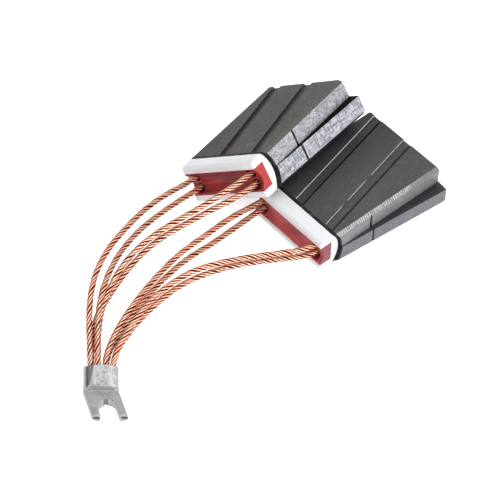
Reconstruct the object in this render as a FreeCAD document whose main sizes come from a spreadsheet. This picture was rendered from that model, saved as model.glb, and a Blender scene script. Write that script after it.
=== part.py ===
import FreeCAD, Part
import math
import os
import Sketcher

Vector = FreeCAD.Vector
Placement = FreeCAD.Placement
Rotation = FreeCAD.Rotation

# A traction carbon brush set: two split brushes, each of two carbon wafers under one resilient
# pressure pad, wired by eight copper flexibles to one tubular fork terminal.
# Frame: +Z up from the table, origin on the table below the middle of the two brushes.
# Brush B lies flat with its head towards -Y, brush A leans on it.
# A brush's own frame: X across its width, Y from its head to its rubbing end, Z up, and the
# origin on the head edge of its upper face. The terminal's own frame is at its fold line.

# Driving sizes, in millimetres and degrees.
SIZES = {
    "carbon_width": 40.0,
    "carbon_length": 53.2,
    "carbon_thickness": 8.0,
    "seat_radius": 14.0,
    "edge_chamfer": 1.3,
    "end_bevel": 0.5,
    "groove_width": 4.2,
    "groove_depth": 1.0,
    "groove_pitch": 16.9,
    "groove_slant": 13.2,
    "groove_overrun": 4.0,
    "wear_line_distance": 17.3,
    "wear_line_width": 0.5,
    "wear_line_depth": 0.3,
    "socket_diameter": 4.0,
    "socket_depth": 12.0,
    "plug_recess": 3.0,
    "plug_bore_depth": 1.0,
    "plug_clearance": 0.1,
    "flexible_diameter": 2.5,
    "flexible_edge": 5.0,
    "flexible_offset": 2.5,
    "flexible_straight": 9.0,
    "cushion_thickness": 1.2,
    "shell_end_gap": 1.25,
    "shell_reach": 7.8,
    "shell_floor": 2.2,
    "flange_thickness": 3.0,
    "lip_chamfer": 0.9,
    "shell_hole": 4.2,
    "insert_web": 3.5,
    "insert_setback": 0.2,
    "trough_radius": 5.3,
    "insert_hole": 4.0,
    "fan_angle": 5.2,
    "fan_slide": 0.2,
    "fork_width": 13.4,
    "fork_length": 11.45,
    "fork_thickness": 4.0,
    "fork_edge_radius": 1.7,
    "fork_skew": 17.2,
    "slot_width": 6.6,
    "slot_root": 4.6,
    "seam_width": 0.9,
    "seam_depth": 1.0,
    "tine_cavity_width": 2.0,
    "tine_cavity_height": 1.4,
    "tine_cavity_depth": 1.5,
    "barrel_width": 13.0,
    "barrel_height": 7.6,
    "barrel_wall": 0.7,
    "barrel_end": 9.4,
    "barrel_start": 2.6,
    "barrel_rise": 1.0,
    "barrel_bend": 31.0,
    "bundle_depth": 6.4,
    "bundle_pitch": 2.55,
    "bundle_row_pitch": 2.6,
    "bundle_run": 9.0,
    "crimp_start": 2.9,
    "crimp_width": 9.0,
    "crimp_length": 5.6,
    "crimp_depth": 0.45,
    "brush_a_x": -14.31,
    "brush_a_y": -28.03,
    "brush_a_z": 26.76,
    "brush_a_yaw": 18.04,
    "brush_a_pitch": -34.91,
    "brush_a_roll": -7.19,
    "brush_b_x": 17.06,
    "brush_b_y": -16.34,
    "terminal_x": 27.93,
    "terminal_y": -124.98,
    "terminal_yaw": -40.1,
}

doc = FreeCAD.newDocument("carbon_brush")
sheet = doc.addObject("Spreadsheet::Sheet", "Sizes")
for row, (alias, value) in enumerate(SIZES.items(), start=1):
    sheet.set(f"A{row}", alias)
    sheet.set(f"B{row}", str(value))
    sheet.setAlias(f"B{row}", alias)
doc.recompute()


def size(alias):
    """One driving size."""
    return float(getattr(sheet, alias))


def expr(text):
    """Turn bare size names marked with @ into references to the sheet."""
    return text.replace("@", "Sizes.")


# Helpers for bodies and sketches.
def origin_plane(body, role):
    return next(f for f in body.Origin.OriginFeatures if f.Role == role)


def new_body(label):
    body = doc.addObject("PartDesign::Body", label)
    body.Label = label
    return body


def new_sketch(body, name, role):
    sketch = body.newObject("Sketcher::SketchObject", name)
    sketch.AttachmentSupport = [(origin_plane(body, role), "")]
    sketch.MapMode = "FlatFace"
    return sketch


def line(x1, y1, x2, y2):
    return Part.LineSegment(Vector(x1, y1, 0), Vector(x2, y2, 0))


def bind(sketch, index, name, text):
    """Name a dimension of a sketch and tie it to the sheet."""
    sketch.renameConstraint(index, name)
    sketch.setExpression(f"Constraints.{name}", expr(text))


def dimension(sketch, kind, *args, name, text):
    """Add a dimension whose value comes from the sheet."""
    index = sketch.addConstraint(Sketcher.Constraint(kind, *args))
    bind(sketch, index, name, text)


def closed_profile(sketch, edges):
    """Add edges end to end and join each end to the next start; returns their indices."""
    first = sketch.GeometryCount
    for edge in edges:
        sketch.addGeometry(edge, False)
    indices = list(range(first, first + len(edges)))
    for here, following in zip(indices, indices[1:] + indices[:1]):
        sketch.addConstraint(Sketcher.Constraint("Coincident", here, 2, following, 1))
    return indices


def rectangle(sketch, left, low, width, height, prefix, texts):
    """A rectangle whose left, low, width and height follow the four given texts."""
    right, high = left + width, low + height
    edges = [line(left, low, right, low), line(right, low, right, high),
             line(right, high, left, high), line(left, high, left, low)]
    bottom, side, top, back = closed_profile(sketch, edges)
    for edge in (bottom, top):
        sketch.addConstraint(Sketcher.Constraint("Horizontal", edge))
    for edge in (side, back):
        sketch.addConstraint(Sketcher.Constraint("Vertical", edge))
    dimension(sketch, "DistanceX", -1, 1, bottom, 1, left, name=f"{prefix}_left", text=texts[0])
    dimension(sketch, "DistanceY", -1, 1, bottom, 1, low, name=f"{prefix}_low", text=texts[1])
    dimension(sketch, "DistanceX", bottom, 1, bottom, 2, width, name=f"{prefix}_width", text=texts[2])
    dimension(sketch, "DistanceY", side, 1, side, 2, height, name=f"{prefix}_height", text=texts[3])


def circle(sketch, x, y, diameter, prefix, x_text, y_text, diameter_text):
    """A circle at a place that follows the sheet."""
    index = sketch.addGeometry(Part.Circle(Vector(x, y, 0), Vector(0, 0, 1), diameter / 2), False)
    dimension(sketch, "DistanceX", -1, 1, index, 3, x, name=f"{prefix}_x", text=x_text)
    dimension(sketch, "DistanceY", -1, 1, index, 3, y, name=f"{prefix}_y", text=y_text)
    dimension(sketch, "Diameter", index, diameter, name=f"{prefix}_diameter", text=diameter_text)


def stadium(sketch, width, height, width_text, height_text, middle=(0.0, 0.0), prefix="oval", texts=None):
    """A flat-sided oval around a middle point, its long way along the sketch's X."""
    x, y = middle
    half, radius = (width - height) / 2, height / 2
    top = sketch.addGeometry(line(x - half, y + radius, x + half, y + radius), False)
    right = sketch.addGeometry(Part.ArcOfCircle(
        Part.Circle(Vector(x + half, y, 0), Vector(0, 0, 1), radius), -math.pi / 2, math.pi / 2), False)
    low = sketch.addGeometry(line(x + half, y - radius, x - half, y - radius), False)
    left = sketch.addGeometry(Part.ArcOfCircle(
        Part.Circle(Vector(x - half, y, 0), Vector(0, 0, 1), radius), math.pi / 2, 3 * math.pi / 2), False)
    for a, a_end, b, b_end in ((top, 2, right, 2), (right, 1, low, 1), (low, 2, left, 2), (left, 1, top, 1)):
        sketch.addConstraint(Sketcher.Constraint("Tangent", a, a_end, b, b_end))
    sketch.addConstraint(Sketcher.Constraint("Horizontal", top))
    sketch.addConstraint(Sketcher.Constraint("Equal", right, left))
    middle_x = texts[0] if texts else "0"
    middle_y = texts[1] if texts else "0"
    dimension(sketch, "DistanceX", -1, 1, left, 3, x - half, name=f"{prefix}_left",
              text=f"{middle_x} - ({width_text} - {height_text}) / 2")
    dimension(sketch, "DistanceX", left, 3, right, 3, width - height, name=f"{prefix}_straight",
              text=f"{width_text} - {height_text}")
    dimension(sketch, "DistanceY", -1, 1, left, 3, y, name=f"{prefix}_middle", text=middle_y)
    dimension(sketch, "Radius", right, radius, name=f"{prefix}_radius", text=f"{height_text} / 2")


def pad(body, name, sketch, text, symmetric=False):
    feature = body.newObject("PartDesign::Pad", name)
    feature.Profile = sketch
    feature.SideType = "Symmetric" if symmetric else "One side"
    feature.setExpression("Length", expr(text))
    doc.recompute()
    return feature


def pocket(body, name, sketch, text, symmetric=False):
    """Cut a sketch into the solid and make sure that material went."""
    before = body.Shape.Volume
    feature = body.newObject("PartDesign::Pocket", name)
    feature.Profile = sketch
    feature.SideType = "Symmetric" if symmetric else "One side"
    feature.setExpression("Length", expr(text))
    doc.recompute()
    if not body.Shape.Volume < before - 1e-6:
        raise RuntimeError(f"{body.Label}: {name} cut nothing")
    return feature


def chamfer(body, name, base, edges, text):
    feature = body.newObject("PartDesign::Chamfer", name)
    feature.Base = (base, edges)
    feature.setExpression("Size", expr(text))
    doc.recompute()
    return feature


def edges_where(shape, axis, test):
    """Names of the edges that run straight along an axis and whose two ends pass a test."""
    names = []
    for index, edge in enumerate(shape.Edges, start=1):
        ends = [v.Point for v in edge.Vertexes]
        if len(ends) == 2 and near(edge.Length, abs((ends[1] - ends[0]).dot(axis))) and all(map(test, ends)):
            names.append(f"Edge{index}")
    return names


def near(a, b):
    return abs(a - b) < 1e-4


# The carbon wafer: its head is hollowed to the pad's radius, its big face has two slanted
# grooves, its narrow faces carry the wear line, and two sockets hold the flexibles.
def wafer_profile(body):
    length, thick, radius = size("carbon_length"), size("carbon_thickness"), size("seat_radius")
    middle = -math.sqrt(radius ** 2 - thick ** 2)
    hollow = middle + radius
    sketch = new_sketch(body, "side_profile", "YZ_Plane")
    arc = Part.ArcOfCircle(Part.Circle(Vector(middle, -thick, 0), Vector(0, 0, 1), radius),
                           0.0, math.atan2(thick, -middle))
    top, end, joint, head = closed_profile(sketch, [
        line(0, 0, length, 0), line(length, 0, length, -thick), line(length, -thick, hollow, -thick), arc])
    sketch.addConstraint(Sketcher.Constraint("Horizontal", top))
    sketch.addConstraint(Sketcher.Constraint("Vertical", end))
    sketch.addConstraint(Sketcher.Constraint("Horizontal", joint))
    sketch.addConstraint(Sketcher.Constraint("Coincident", top, 1, -1, 1))
    sketch.addConstraint(Sketcher.Constraint("PointOnObject", head, 3, joint))
    dimension(sketch, "DistanceX", top, 1, top, 2, length, name="length", text="@carbon_length")
    dimension(sketch, "DistanceY", end, 2, end, 1, thick, name="thickness", text="@carbon_thickness")
    dimension(sketch, "Radius", head, radius, name="seat", text="@seat_radius")
    return sketch


def groove_sketch(body):
    sketch = new_sketch(body, "slanted_grooves", "XY_Plane")
    slant = math.radians(size("groove_slant"))
    over, width = size("groove_overrun"), size("groove_width")
    length = size("carbon_length")
    run = length / 2 + over
    for name, side in (("left", -1), ("right", 1)):
        middle = side * size("groove_pitch") / 2
        low_x = middle - width / 2 + run * math.tan(slant)
        high_x = middle - width / 2 - run * math.tan(slant)
        low, right, high, left = closed_profile(sketch, [
            line(low_x, -over, low_x + width, -over),
            line(low_x + width, -over, high_x + width, length + over),
            line(high_x + width, length + over, high_x, length + over),
            line(high_x, length + over, low_x, -over)])
        sketch.addConstraint(Sketcher.Constraint("Horizontal", low))
        sketch.addConstraint(Sketcher.Constraint("Horizontal", high))
        sketch.addConstraint(Sketcher.Constraint("Parallel", left, right))
        lean = "(@carbon_length / 2 + @groove_overrun) * tan(@groove_slant * 1 deg)"
        dimension(sketch, "DistanceX", -1, 1, low, 1, low_x, name=f"{name}_low",
                  text=f"{side} * @groove_pitch / 2 - @groove_width / 2 + {lean}")
        dimension(sketch, "DistanceX", -1, 1, high, 2, high_x, name=f"{name}_high",
                  text=f"{side} * @groove_pitch / 2 - @groove_width / 2 - {lean}")
        dimension(sketch, "DistanceX", low, 1, low, 2, width, name=f"{name}_width", text="@groove_width")
        dimension(sketch, "DistanceY", -1, 1, low, 1, -over, name=f"{name}_start", text="-@groove_overrun")
        dimension(sketch, "DistanceY", -1, 1, high, 2, length + over, name=f"{name}_end",
                  text="@carbon_length + @groove_overrun")
    return sketch


def wear_line_sketch(body):
    sketch = new_sketch(body, "wear_lines", "XY_Plane")
    half, depth, width = size("carbon_width") / 2, size("wear_line_depth"), size("wear_line_width")
    low = size("wear_line_distance") - width / 2
    low_text = "@wear_line_distance - @wear_line_width / 2"
    rectangle(sketch, half - depth, low, 2 * depth, width, "right",
              ("@carbon_width / 2 - @wear_line_depth", low_text, "2 * @wear_line_depth", "@wear_line_width"))
    rectangle(sketch, -half - depth, low, 2 * depth, width, "left",
              ("-@carbon_width / 2 - @wear_line_depth", low_text, "2 * @wear_line_depth", "@wear_line_width"))
    return sketch


def socket_sketch(body):
    sketch = new_sketch(body, "flexible_sockets", "XZ_Plane")
    down = -size("carbon_thickness") + size("flexible_offset")
    for name, side in (("left", -1), ("right", 1)):
        across = side * (size("carbon_width") / 2 - size("flexible_edge"))
        circle(sketch, across, down, size("socket_diameter"), name,
               f"{side} * (@carbon_width / 2 - @flexible_edge)",
               "-@carbon_thickness + @flexible_offset", "@socket_diameter")
    return sketch


def make_wafer(label, placement):
    body = new_body(label)
    block = pad(body, "block", wafer_profile(body), "@carbon_width", symmetric=True)
    half, length = size("carbon_width") / 2, size("carbon_length")
    long_edges = edges_where(block.Shape, Vector(0, 1, 0), lambda p: near(p.z, 0) and near(abs(p.x), half))
    broken = chamfer(body, "long_edges", block, long_edges, "@edge_chamfer")
    end_edges = edges_where(broken.Shape, Vector(1, 0, 0), lambda p: near(p.z, 0) and near(p.y, length))
    chamfer(body, "rubbing_edge", broken, end_edges, "@end_bevel")
    pocket(body, "grooves", groove_sketch(body), "@groove_depth")
    pocket(body, "wear_line", wear_line_sketch(body), "@carbon_thickness")
    pocket(body, "sockets", socket_sketch(body), "@socket_depth")
    body.Placement = placement
    return body


# The pressure pad: a resilient cushion, a hard U-shaped shell and a rubber insert with a trough.
def pad_radii():
    seat = size("seat_radius")
    return -math.sqrt(seat ** 2 - size("carbon_thickness") ** 2), seat, seat - size("cushion_thickness")


def edge_of_arc(middle, radius, thick):
    return middle + math.sqrt(radius ** 2 - thick ** 2)


def arc_through(middle, radius, thick):
    """The pad's arc from its lower edge to its upper edge, bulging towards the carbon."""
    angle = math.asin(thick / radius)
    return Part.ArcOfCircle(Part.Circle(Vector(middle, -thick, 0), Vector(0, 0, 1), radius), -angle, angle)


PAD_MIDDLE = "-sqrt(@seat_radius ^ 2 - @carbon_thickness ^ 2)"


def centre_arc(sketch, arc, radius, middle, name, radius_text):
    """Hold an arc's middle on the joint between the wafers and give it its radius."""
    dimension(sketch, "DistanceX", -1, 1, arc, 3, middle, name=f"{name}_middle_x", text=PAD_MIDDLE)
    dimension(sketch, "DistanceY", -1, 1, arc, 3, -size("carbon_thickness"), name=f"{name}_middle_y",
              text="-@carbon_thickness")
    dimension(sketch, "Radius", arc, radius, name=f"{name}_radius", text=radius_text)


def cushion_sketch(body):
    middle, outer, inner = pad_radii()
    thick = size("carbon_thickness")
    low = -2 * thick
    inner_edge = edge_of_arc(middle, inner, thick)
    inner_arc = arc_through(middle, inner, thick)
    outer_arc = arc_through(middle, outer, thick)
    sketch = new_sketch(body, "band_profile", "YZ_Plane")
    outside = sketch.addGeometry(outer_arc, False)
    top = sketch.addGeometry(line(0, 0, inner_edge, 0), False)
    inside = sketch.addGeometry(inner_arc, False)
    bottom = sketch.addGeometry(line(inner_edge, low, 0, low), False)
    joints = ((outside, 2, top, 1), (top, 2, inside, 2), (inside, 1, bottom, 1), (bottom, 2, outside, 1))
    for a, a_end, b, b_end in joints:
        sketch.addConstraint(Sketcher.Constraint("Coincident", a, a_end, b, b_end))
    sketch.addConstraint(Sketcher.Constraint("Horizontal", top))
    sketch.addConstraint(Sketcher.Constraint("Horizontal", bottom))
    centre_arc(sketch, outside, outer, middle, "outside", "@seat_radius")
    sketch.addConstraint(Sketcher.Constraint("Coincident", inside, 3, outside, 3))
    dimension(sketch, "Radius", inside, inner, name="inside_radius", text="@seat_radius - @cushion_thickness")
    dimension(sketch, "DistanceY", -1, 1, top, 1, 0.0, name="top_edge", text="0")
    dimension(sketch, "DistanceY", -1, 1, bottom, 1, low, name="low_edge", text="-2 * @carbon_thickness")
    return sketch


def shell_sketch(body):
    middle, _, outer = pad_radii()
    thick, wall, bevel = size("carbon_thickness"), size("flange_thickness"), size("lip_chamfer")
    tip, floor = -size("shell_reach"), -size("shell_floor")
    low = -2 * thick
    edge = edge_of_arc(middle, outer, thick)
    sketch = new_sketch(body, "channel_profile", "YZ_Plane")
    points = [(edge, 0), (tip + bevel, 0), (tip, -bevel), (tip, -wall), (floor, -wall), (floor, low + wall),
              (tip, low + wall), (tip, low + bevel), (tip + bevel, low), (edge, low)]
    sides = [sketch.addGeometry(line(*a, *b), False) for a, b in zip(points, points[1:])]
    back = sketch.addGeometry(arc_through(middle, outer, thick), False)
    for here, following in zip(sides, sides[1:]):
        sketch.addConstraint(Sketcher.Constraint("Coincident", here, 2, following, 1))
    sketch.addConstraint(Sketcher.Constraint("Coincident", sides[-1], 2, back, 1))
    sketch.addConstraint(Sketcher.Constraint("Coincident", back, 2, sides[0], 1))
    for index in (0, 3, 5, 8):
        sketch.addConstraint(Sketcher.Constraint("Horizontal", sides[index]))
    for index in (2, 4, 6):
        sketch.addConstraint(Sketcher.Constraint("Vertical", sides[index]))
    centre_arc(sketch, back, outer, middle, "back", "@seat_radius - @cushion_thickness")
    places = (
        ("top_face", "DistanceY", 0, 1, 0.0, "0"),
        ("lip_x", "DistanceX", 1, 1, tip + bevel, "-@shell_reach + @lip_chamfer"),
        ("tip_x", "DistanceX", 2, 1, tip, "-@shell_reach"),
        ("lip_y", "DistanceY", 2, 1, -bevel, "-@lip_chamfer"),
        ("flange_y", "DistanceY", 3, 1, -wall, "-@flange_thickness"),
        ("floor_x", "DistanceX", 4, 1, floor, "-@shell_floor"),
        ("low_flange_y", "DistanceY", 5, 1, low + wall, "-2 * @carbon_thickness + @flange_thickness"),
        ("low_tip_x", "DistanceX", 6, 1, tip, "-@shell_reach"),
        ("low_lip_y", "DistanceY", 7, 1, low + bevel, "-2 * @carbon_thickness + @lip_chamfer"),
        ("low_lip_x", "DistanceX", 8, 1, tip + bevel, "-@shell_reach + @lip_chamfer"),
        ("low_face", "DistanceY", 8, 1, low, "-2 * @carbon_thickness"),
    )
    for name, kind, index, point, value, text in places:
        dimension(sketch, kind, -1, 1, sides[index], point, value, name=name, text=text)
    return sketch


def insert_sketch(body):
    thick, wall, radius = size("carbon_thickness"), size("flange_thickness"), size("trough_radius")
    floor, low = -size("shell_floor"), -2 * thick
    lip = -size("shell_reach") + size("insert_setback")
    middle = floor - size("insert_web") - radius
    half = math.sqrt(radius ** 2 - (lip - middle) ** 2)
    angle = math.atan2(half, lip - middle)
    trough = Part.ArcOfCircle(Part.Circle(Vector(middle, -thick, 0), Vector(0, 0, 1), radius), -angle, angle)
    sketch = new_sketch(body, "trough_profile", "YZ_Plane")
    top_lip = sketch.addGeometry(line(lip, -thick + half, lip, -wall), False)
    top = sketch.addGeometry(line(lip, -wall, floor, -wall), False)
    back = sketch.addGeometry(line(floor, -wall, floor, low + wall), False)
    bottom = sketch.addGeometry(line(floor, low + wall, lip, low + wall), False)
    low_lip = sketch.addGeometry(line(lip, low + wall, lip, -thick - half), False)
    arc = sketch.addGeometry(trough, False)
    for a, a_end, b, b_end in ((top_lip, 2, top, 1), (top, 2, back, 1), (back, 2, bottom, 1),
                               (bottom, 2, low_lip, 1), (low_lip, 2, arc, 1), (arc, 2, top_lip, 1)):
        sketch.addConstraint(Sketcher.Constraint("Coincident", a, a_end, b, b_end))
    for edge in (top, bottom):
        sketch.addConstraint(Sketcher.Constraint("Horizontal", edge))
    for edge in (top_lip, back, low_lip):
        sketch.addConstraint(Sketcher.Constraint("Vertical", edge))
    reach = "-@shell_reach + @insert_setback"
    dimension(sketch, "DistanceX", -1, 1, top_lip, 2, lip, name="lip_x", text=reach)
    dimension(sketch, "DistanceX", -1, 1, low_lip, 1, lip, name="low_lip_x", text=reach)
    dimension(sketch, "DistanceX", -1, 1, back, 1, floor, name="back_x", text="-@shell_floor")
    dimension(sketch, "DistanceY", -1, 1, back, 1, -wall, name="top_y", text="-@flange_thickness")
    dimension(sketch, "DistanceY", -1, 1, back, 2, low + wall, name="low_y",
              text="-2 * @carbon_thickness + @flange_thickness")
    dimension(sketch, "DistanceX", -1, 1, arc, 3, middle, name="trough_x",
              text="-@shell_floor - @insert_web - @trough_radius")
    dimension(sketch, "DistanceY", -1, 1, arc, 3, -thick, name="trough_y", text="-@carbon_thickness")
    dimension(sketch, "Radius", arc, radius, name="trough_r", text="@trough_radius")
    return sketch


def hole_sketch(body, alias):
    """Four holes, one for each flexible, seen along the brush's length."""
    sketch = new_sketch(body, "flexible_holes", "XZ_Plane")
    for row_name, row_side in (("upper", 1), ("lower", -1)):
        for name, side in (("left", -1), ("right", 1)):
            circle(sketch, side * (size("carbon_width") / 2 - size("flexible_edge")),
                   -size("carbon_thickness") + row_side * size("flexible_offset"), size(alias),
                   f"{row_name}_{name}", f"{side} * (@carbon_width / 2 - @flexible_edge)",
                   f"-@carbon_thickness + {row_side} * @flexible_offset", f"@{alias}")
    return sketch


def make_pad_piece(label, profile, hole, placement):
    body = new_body(label)
    pad(body, "strip", profile(body), "(@carbon_width - 2 * @shell_end_gap)", symmetric=True)
    pocket(body, "holes", hole_sketch(body, hole), "4 * @shell_reach", symmetric=True)
    body.Placement = placement
    return body


# The tamped plug of copper powder that fixes a flexible's end in its socket.
def make_plug(label, placement):
    outside = doc.addObject("Part::Cylinder", f"{label}_outside")
    outside.setExpression("Radius", expr("@socket_diameter / 2"))
    outside.setExpression("Height", expr("@socket_depth - @plug_recess"))
    bore = doc.addObject("Part::Cylinder", f"{label}_bore")
    bore.setExpression("Radius", expr("(@flexible_diameter + @plug_clearance) / 2"))
    bore.setExpression("Height", expr("@plug_bore_depth"))
    cut = doc.addObject("Part::Cut", label)
    cut.Base, cut.Tool = outside, bore
    cut.Label = label
    cut.Placement = placement
    return cut


# The flexibles: straight runs joined by tangent arcs, each as large as its runs allow.
def route_path(points):
    """The wire through a route's runs and arcs, its length and each arc's radius."""
    edges, radii = [], []
    start = points[0]
    for before, corner, after in zip(points, points[1:], points[2:]):
        inward, outward = before - corner, after - corner
        shorter = min(inward.Length, outward.Length)
        reach = 0.45 * shorter
        inward.normalize()
        outward.normalize()
        turn = math.pi - inward.getAngle(outward)
        radius = reach / math.tan(turn / 2)
        first, last = corner + inward * reach, corner + outward * reach
        bisector = (inward + outward).normalize()
        middle = corner + bisector * (radius / math.cos(turn / 2) - radius)
        edges.append(Part.LineSegment(start, first).toShape())
        edges.append(Part.Arc(first, middle, last).toShape())
        radii.append(radius)
        start = last
    edges.append(Part.LineSegment(start, points[-1]).toShape())
    wire = Part.Wire(edges)
    return wire, wire.Length, radii


def make_flexible(label, points):
    radius = size("flexible_diameter") / 2
    wire, length, radii = route_path(points)
    section = Part.Wire(Part.makeCircle(radius, points[0], points[1] - points[0]))
    tube = wire.makePipeShell([section], True, False)
    feature = doc.addObject("Part::Feature", label)
    feature.Label = label
    feature.Shape = tube
    ratio = tube.Volume / (math.pi * radius ** 2 * length)
    rounded = " ".join(f"{r:.1f}" for r in radii)
    print(f"{label}: length {length:.1f} mm, volume ratio {ratio:.4f}, radii {rounded}")
    print("    points " + " ".join(f"({p.x:.2f}, {p.y:.2f}, {p.z:.2f})" for p in points))
    return feature


# The terminal: a tube flattened and slotted into a fork, bent up into an oval crimped barrel.
def fork_sketch(body):
    """The fork's outline: its sides and slot lean across, its fold and tips run straight across."""
    length, half, skew = size("fork_length"), size("fork_width") / 2, math.radians(size("fork_skew"))
    root, radius, lean = size("slot_root"), size("slot_width") / 2, math.tan(skew)
    drift = lean * length
    gap = radius / math.cos(skew)
    middle = Vector(root + radius, lean * (root + radius), 0)
    offset = Vector(math.sin(skew), -math.cos(skew), 0) * radius
    low_end, high_end = middle + offset, middle - offset
    sketch = new_sketch(body, "fork_outline", "XY_Plane")
    quarter = math.pi / 2
    arc = Part.ArcOfCircle(Part.Circle(middle, Vector(0, 0, 1), radius), quarter + skew, 3 * quarter + skew)
    points = [(length, drift + gap), (length, drift + half), (0, half), (0, -half), (length, drift - half),
              (length, drift - gap), (low_end.x, low_end.y)]
    sides = [sketch.addGeometry(line(*a, *b), False) for a, b in zip(points, points[1:])]
    round_end = sketch.addGeometry(arc, False)
    upper = sketch.addGeometry(line(high_end.x, high_end.y, length, drift + gap), False)
    for here, following in zip(sides, sides[1:]):
        sketch.addConstraint(Sketcher.Constraint("Coincident", here, 2, following, 1))
    sketch.addConstraint(Sketcher.Constraint("Tangent", sides[-1], 2, round_end, 2))
    sketch.addConstraint(Sketcher.Constraint("Tangent", upper, 1, round_end, 1))
    sketch.addConstraint(Sketcher.Constraint("Coincident", upper, 2, sides[0], 1))
    for index in (0, 2, 4):
        sketch.addConstraint(Sketcher.Constraint("Vertical", sides[index]))
    for other in (sides[3], upper):
        sketch.addConstraint(Sketcher.Constraint("Parallel", sides[1], other))
    far = "@fork_length * tan(@fork_skew * 1 deg)"
    reach = "(@slot_root + @slot_width / 2)"
    dimension(sketch, "DistanceX", -1, 1, sides[0], 1, length, name="fork_x", text="@fork_length")
    dimension(sketch, "DistanceX", -1, 1, sides[4], 1, length, name="fork_x2", text="@fork_length")
    dimension(sketch, "DistanceX", -1, 1, sides[2], 1, 0.0, name="fold_x", text="0")
    dimension(sketch, "DistanceY", -1, 1, sides[2], 1, half, name="side_y", text="@fork_width / 2")
    dimension(sketch, "DistanceY", -1, 1, sides[2], 2, -half, name="other_side_y", text="-@fork_width / 2")
    dimension(sketch, "DistanceY", -1, 1, sides[0], 2, drift + half, name="tip_y",
              text=f"{far} + @fork_width / 2")
    dimension(sketch, "DistanceX", -1, 1, round_end, 3, middle.x, name="slot_x", text=reach)
    dimension(sketch, "DistanceY", -1, 1, round_end, 3, middle.y, name="slot_y",
              text=f"{reach} * tan(@fork_skew * 1 deg)")
    dimension(sketch, "Radius", round_end, radius, name="slot_r", text="@slot_width / 2")
    return sketch


def offset_sketch(body, name, out_text, tilted):
    """A sketch across the terminal, out along the fork or, tilted, back along the barrel."""
    sketch = new_sketch(body, name, "YZ_Plane")
    if tilted:
        bend = "@barrel_bend * 1 deg"
        sketch.AttachmentOffset = Placement(Vector(0, 0, 0), Rotation(Vector(1, 0, 0), size("barrel_bend")))
        sketch.setExpression("AttachmentOffset.Rotation.Angle", expr(bend))
        sketch.setExpression("AttachmentOffset.Base.y", expr(
            f"sin({bend}) * ({out_text}) + cos({bend}) * @barrel_rise"))
        sketch.setExpression("AttachmentOffset.Base.z", expr(
            f"-cos({bend}) * ({out_text}) + sin({bend}) * @barrel_rise"))
    else:
        sketch.setExpression("AttachmentOffset.Base.z", expr(out_text))
    return sketch


def make_terminal(label, placement):
    body = new_body(label)
    width, thick = size("fork_width"), size("fork_thickness")
    barrel_width, barrel_height = size("barrel_width"), size("barrel_height")
    fork = pad(body, "fork", fork_sketch(body), "@fork_thickness", symmetric=True)
    half = width / 2
    skew = math.radians(size("fork_skew"))
    lean = math.tan(skew)
    rims = edges_where(fork.Shape, Vector(math.cos(skew), math.sin(skew), 0),
                       lambda p: near(abs(p.y - lean * p.x), half))
    rounded = body.newObject("PartDesign::Fillet", "rolled_edges")
    rounded.Base = (fork, rims)
    rounded.setExpression("Radius", expr("@fork_edge_radius"))
    doc.recompute()
    neck_low = offset_sketch(body, "neck_fork_section", "0", tilted=False)
    stadium(neck_low, width, thick, "@fork_width", "@fork_thickness", prefix="neck")
    neck_high = offset_sketch(body, "neck_barrel_section", "@barrel_start", tilted=True)
    stadium(neck_high, barrel_width, barrel_height, "@barrel_width", "@barrel_height", prefix="neck")
    doc.recompute()
    neck = body.newObject("PartDesign::AdditiveLoft", "neck")
    neck.Profile = neck_low
    neck.Sections = [neck_high]
    neck.Ruled = True
    doc.recompute()
    barrel_sketch = offset_sketch(body, "barrel_section", "@barrel_start", tilted=True)
    stadium(barrel_sketch, barrel_width, barrel_height, "@barrel_width", "@barrel_height", prefix="barrel")
    barrel = body.newObject("PartDesign::Pad", "barrel")
    barrel.Profile = barrel_sketch
    barrel.Reversed = True
    barrel.setExpression("Length", expr("@barrel_end - @barrel_start"))
    doc.recompute()
    cavity = offset_sketch(body, "bundle_section", "@barrel_end - @bundle_depth", tilted=True)
    stadium(cavity, barrel_width - 2 * size("barrel_wall"), barrel_height - 2 * size("barrel_wall"),
            "(@barrel_width - 2 * @barrel_wall)", "(@barrel_height - 2 * @barrel_wall)", prefix="bundle")
    pocket(body, "bundle_bore", cavity, "2 * @bundle_depth")
    crimp = offset_sketch(body, "crimp_section", "@crimp_start", tilted=True)
    rectangle(crimp, -size("crimp_width") / 2, barrel_height / 2 - size("crimp_depth"), size("crimp_width"),
              2 * size("crimp_depth"), "crimp",
              ("-@crimp_width / 2", "@barrel_height / 2 - @crimp_depth", "@crimp_width", "2 * @crimp_depth"))
    pocket(body, "crimp", crimp, "@crimp_length")
    tips = offset_sketch(body, "tine_ends", "@fork_length", tilted=False)
    side_y = (width + size("slot_width") / math.cos(skew)) / 4
    turn = "@fork_skew * 1 deg"
    for name, side in (("left", -1), ("right", 1)):
        stadium(tips, size("tine_cavity_width"), size("tine_cavity_height"), "@tine_cavity_width",
                "@tine_cavity_height", (lean * size("fork_length") + side * side_y, 0.0), name,
                (f"@fork_length * tan({turn}) + {side} * (@fork_width + @slot_width / cos({turn})) / 4", "0"))
    pocket(body, "tine_cavities", tips, "@tine_cavity_depth")
    seam = new_sketch(body, "root_seam", "XY_Plane")
    rectangle(seam, size("slot_root") - size("seam_depth"), lean * size("slot_root") - size("seam_width") / 2,
              2 * size("seam_depth"), size("seam_width"), "seam",
              ("@slot_root - @seam_depth", f"@slot_root * tan({turn}) - @seam_width / 2", "2 * @seam_depth",
               "@seam_width"))
    pocket(body, "seam", seam, "2 * @fork_thickness", symmetric=True)
    body.Placement = placement
    return body


# Placements: each brush, its wafers in it, and the terminal.
def brush_placement(name):
    if name == "a":
        return Placement(Vector(size("brush_a_x"), size("brush_a_y"), size("brush_a_z")),
                         Rotation(size("brush_a_yaw"), size("brush_a_pitch"), size("brush_a_roll")))
    return Placement(Vector(size("brush_b_x"), size("brush_b_y"), 2 * size("carbon_thickness")), Rotation())


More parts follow.
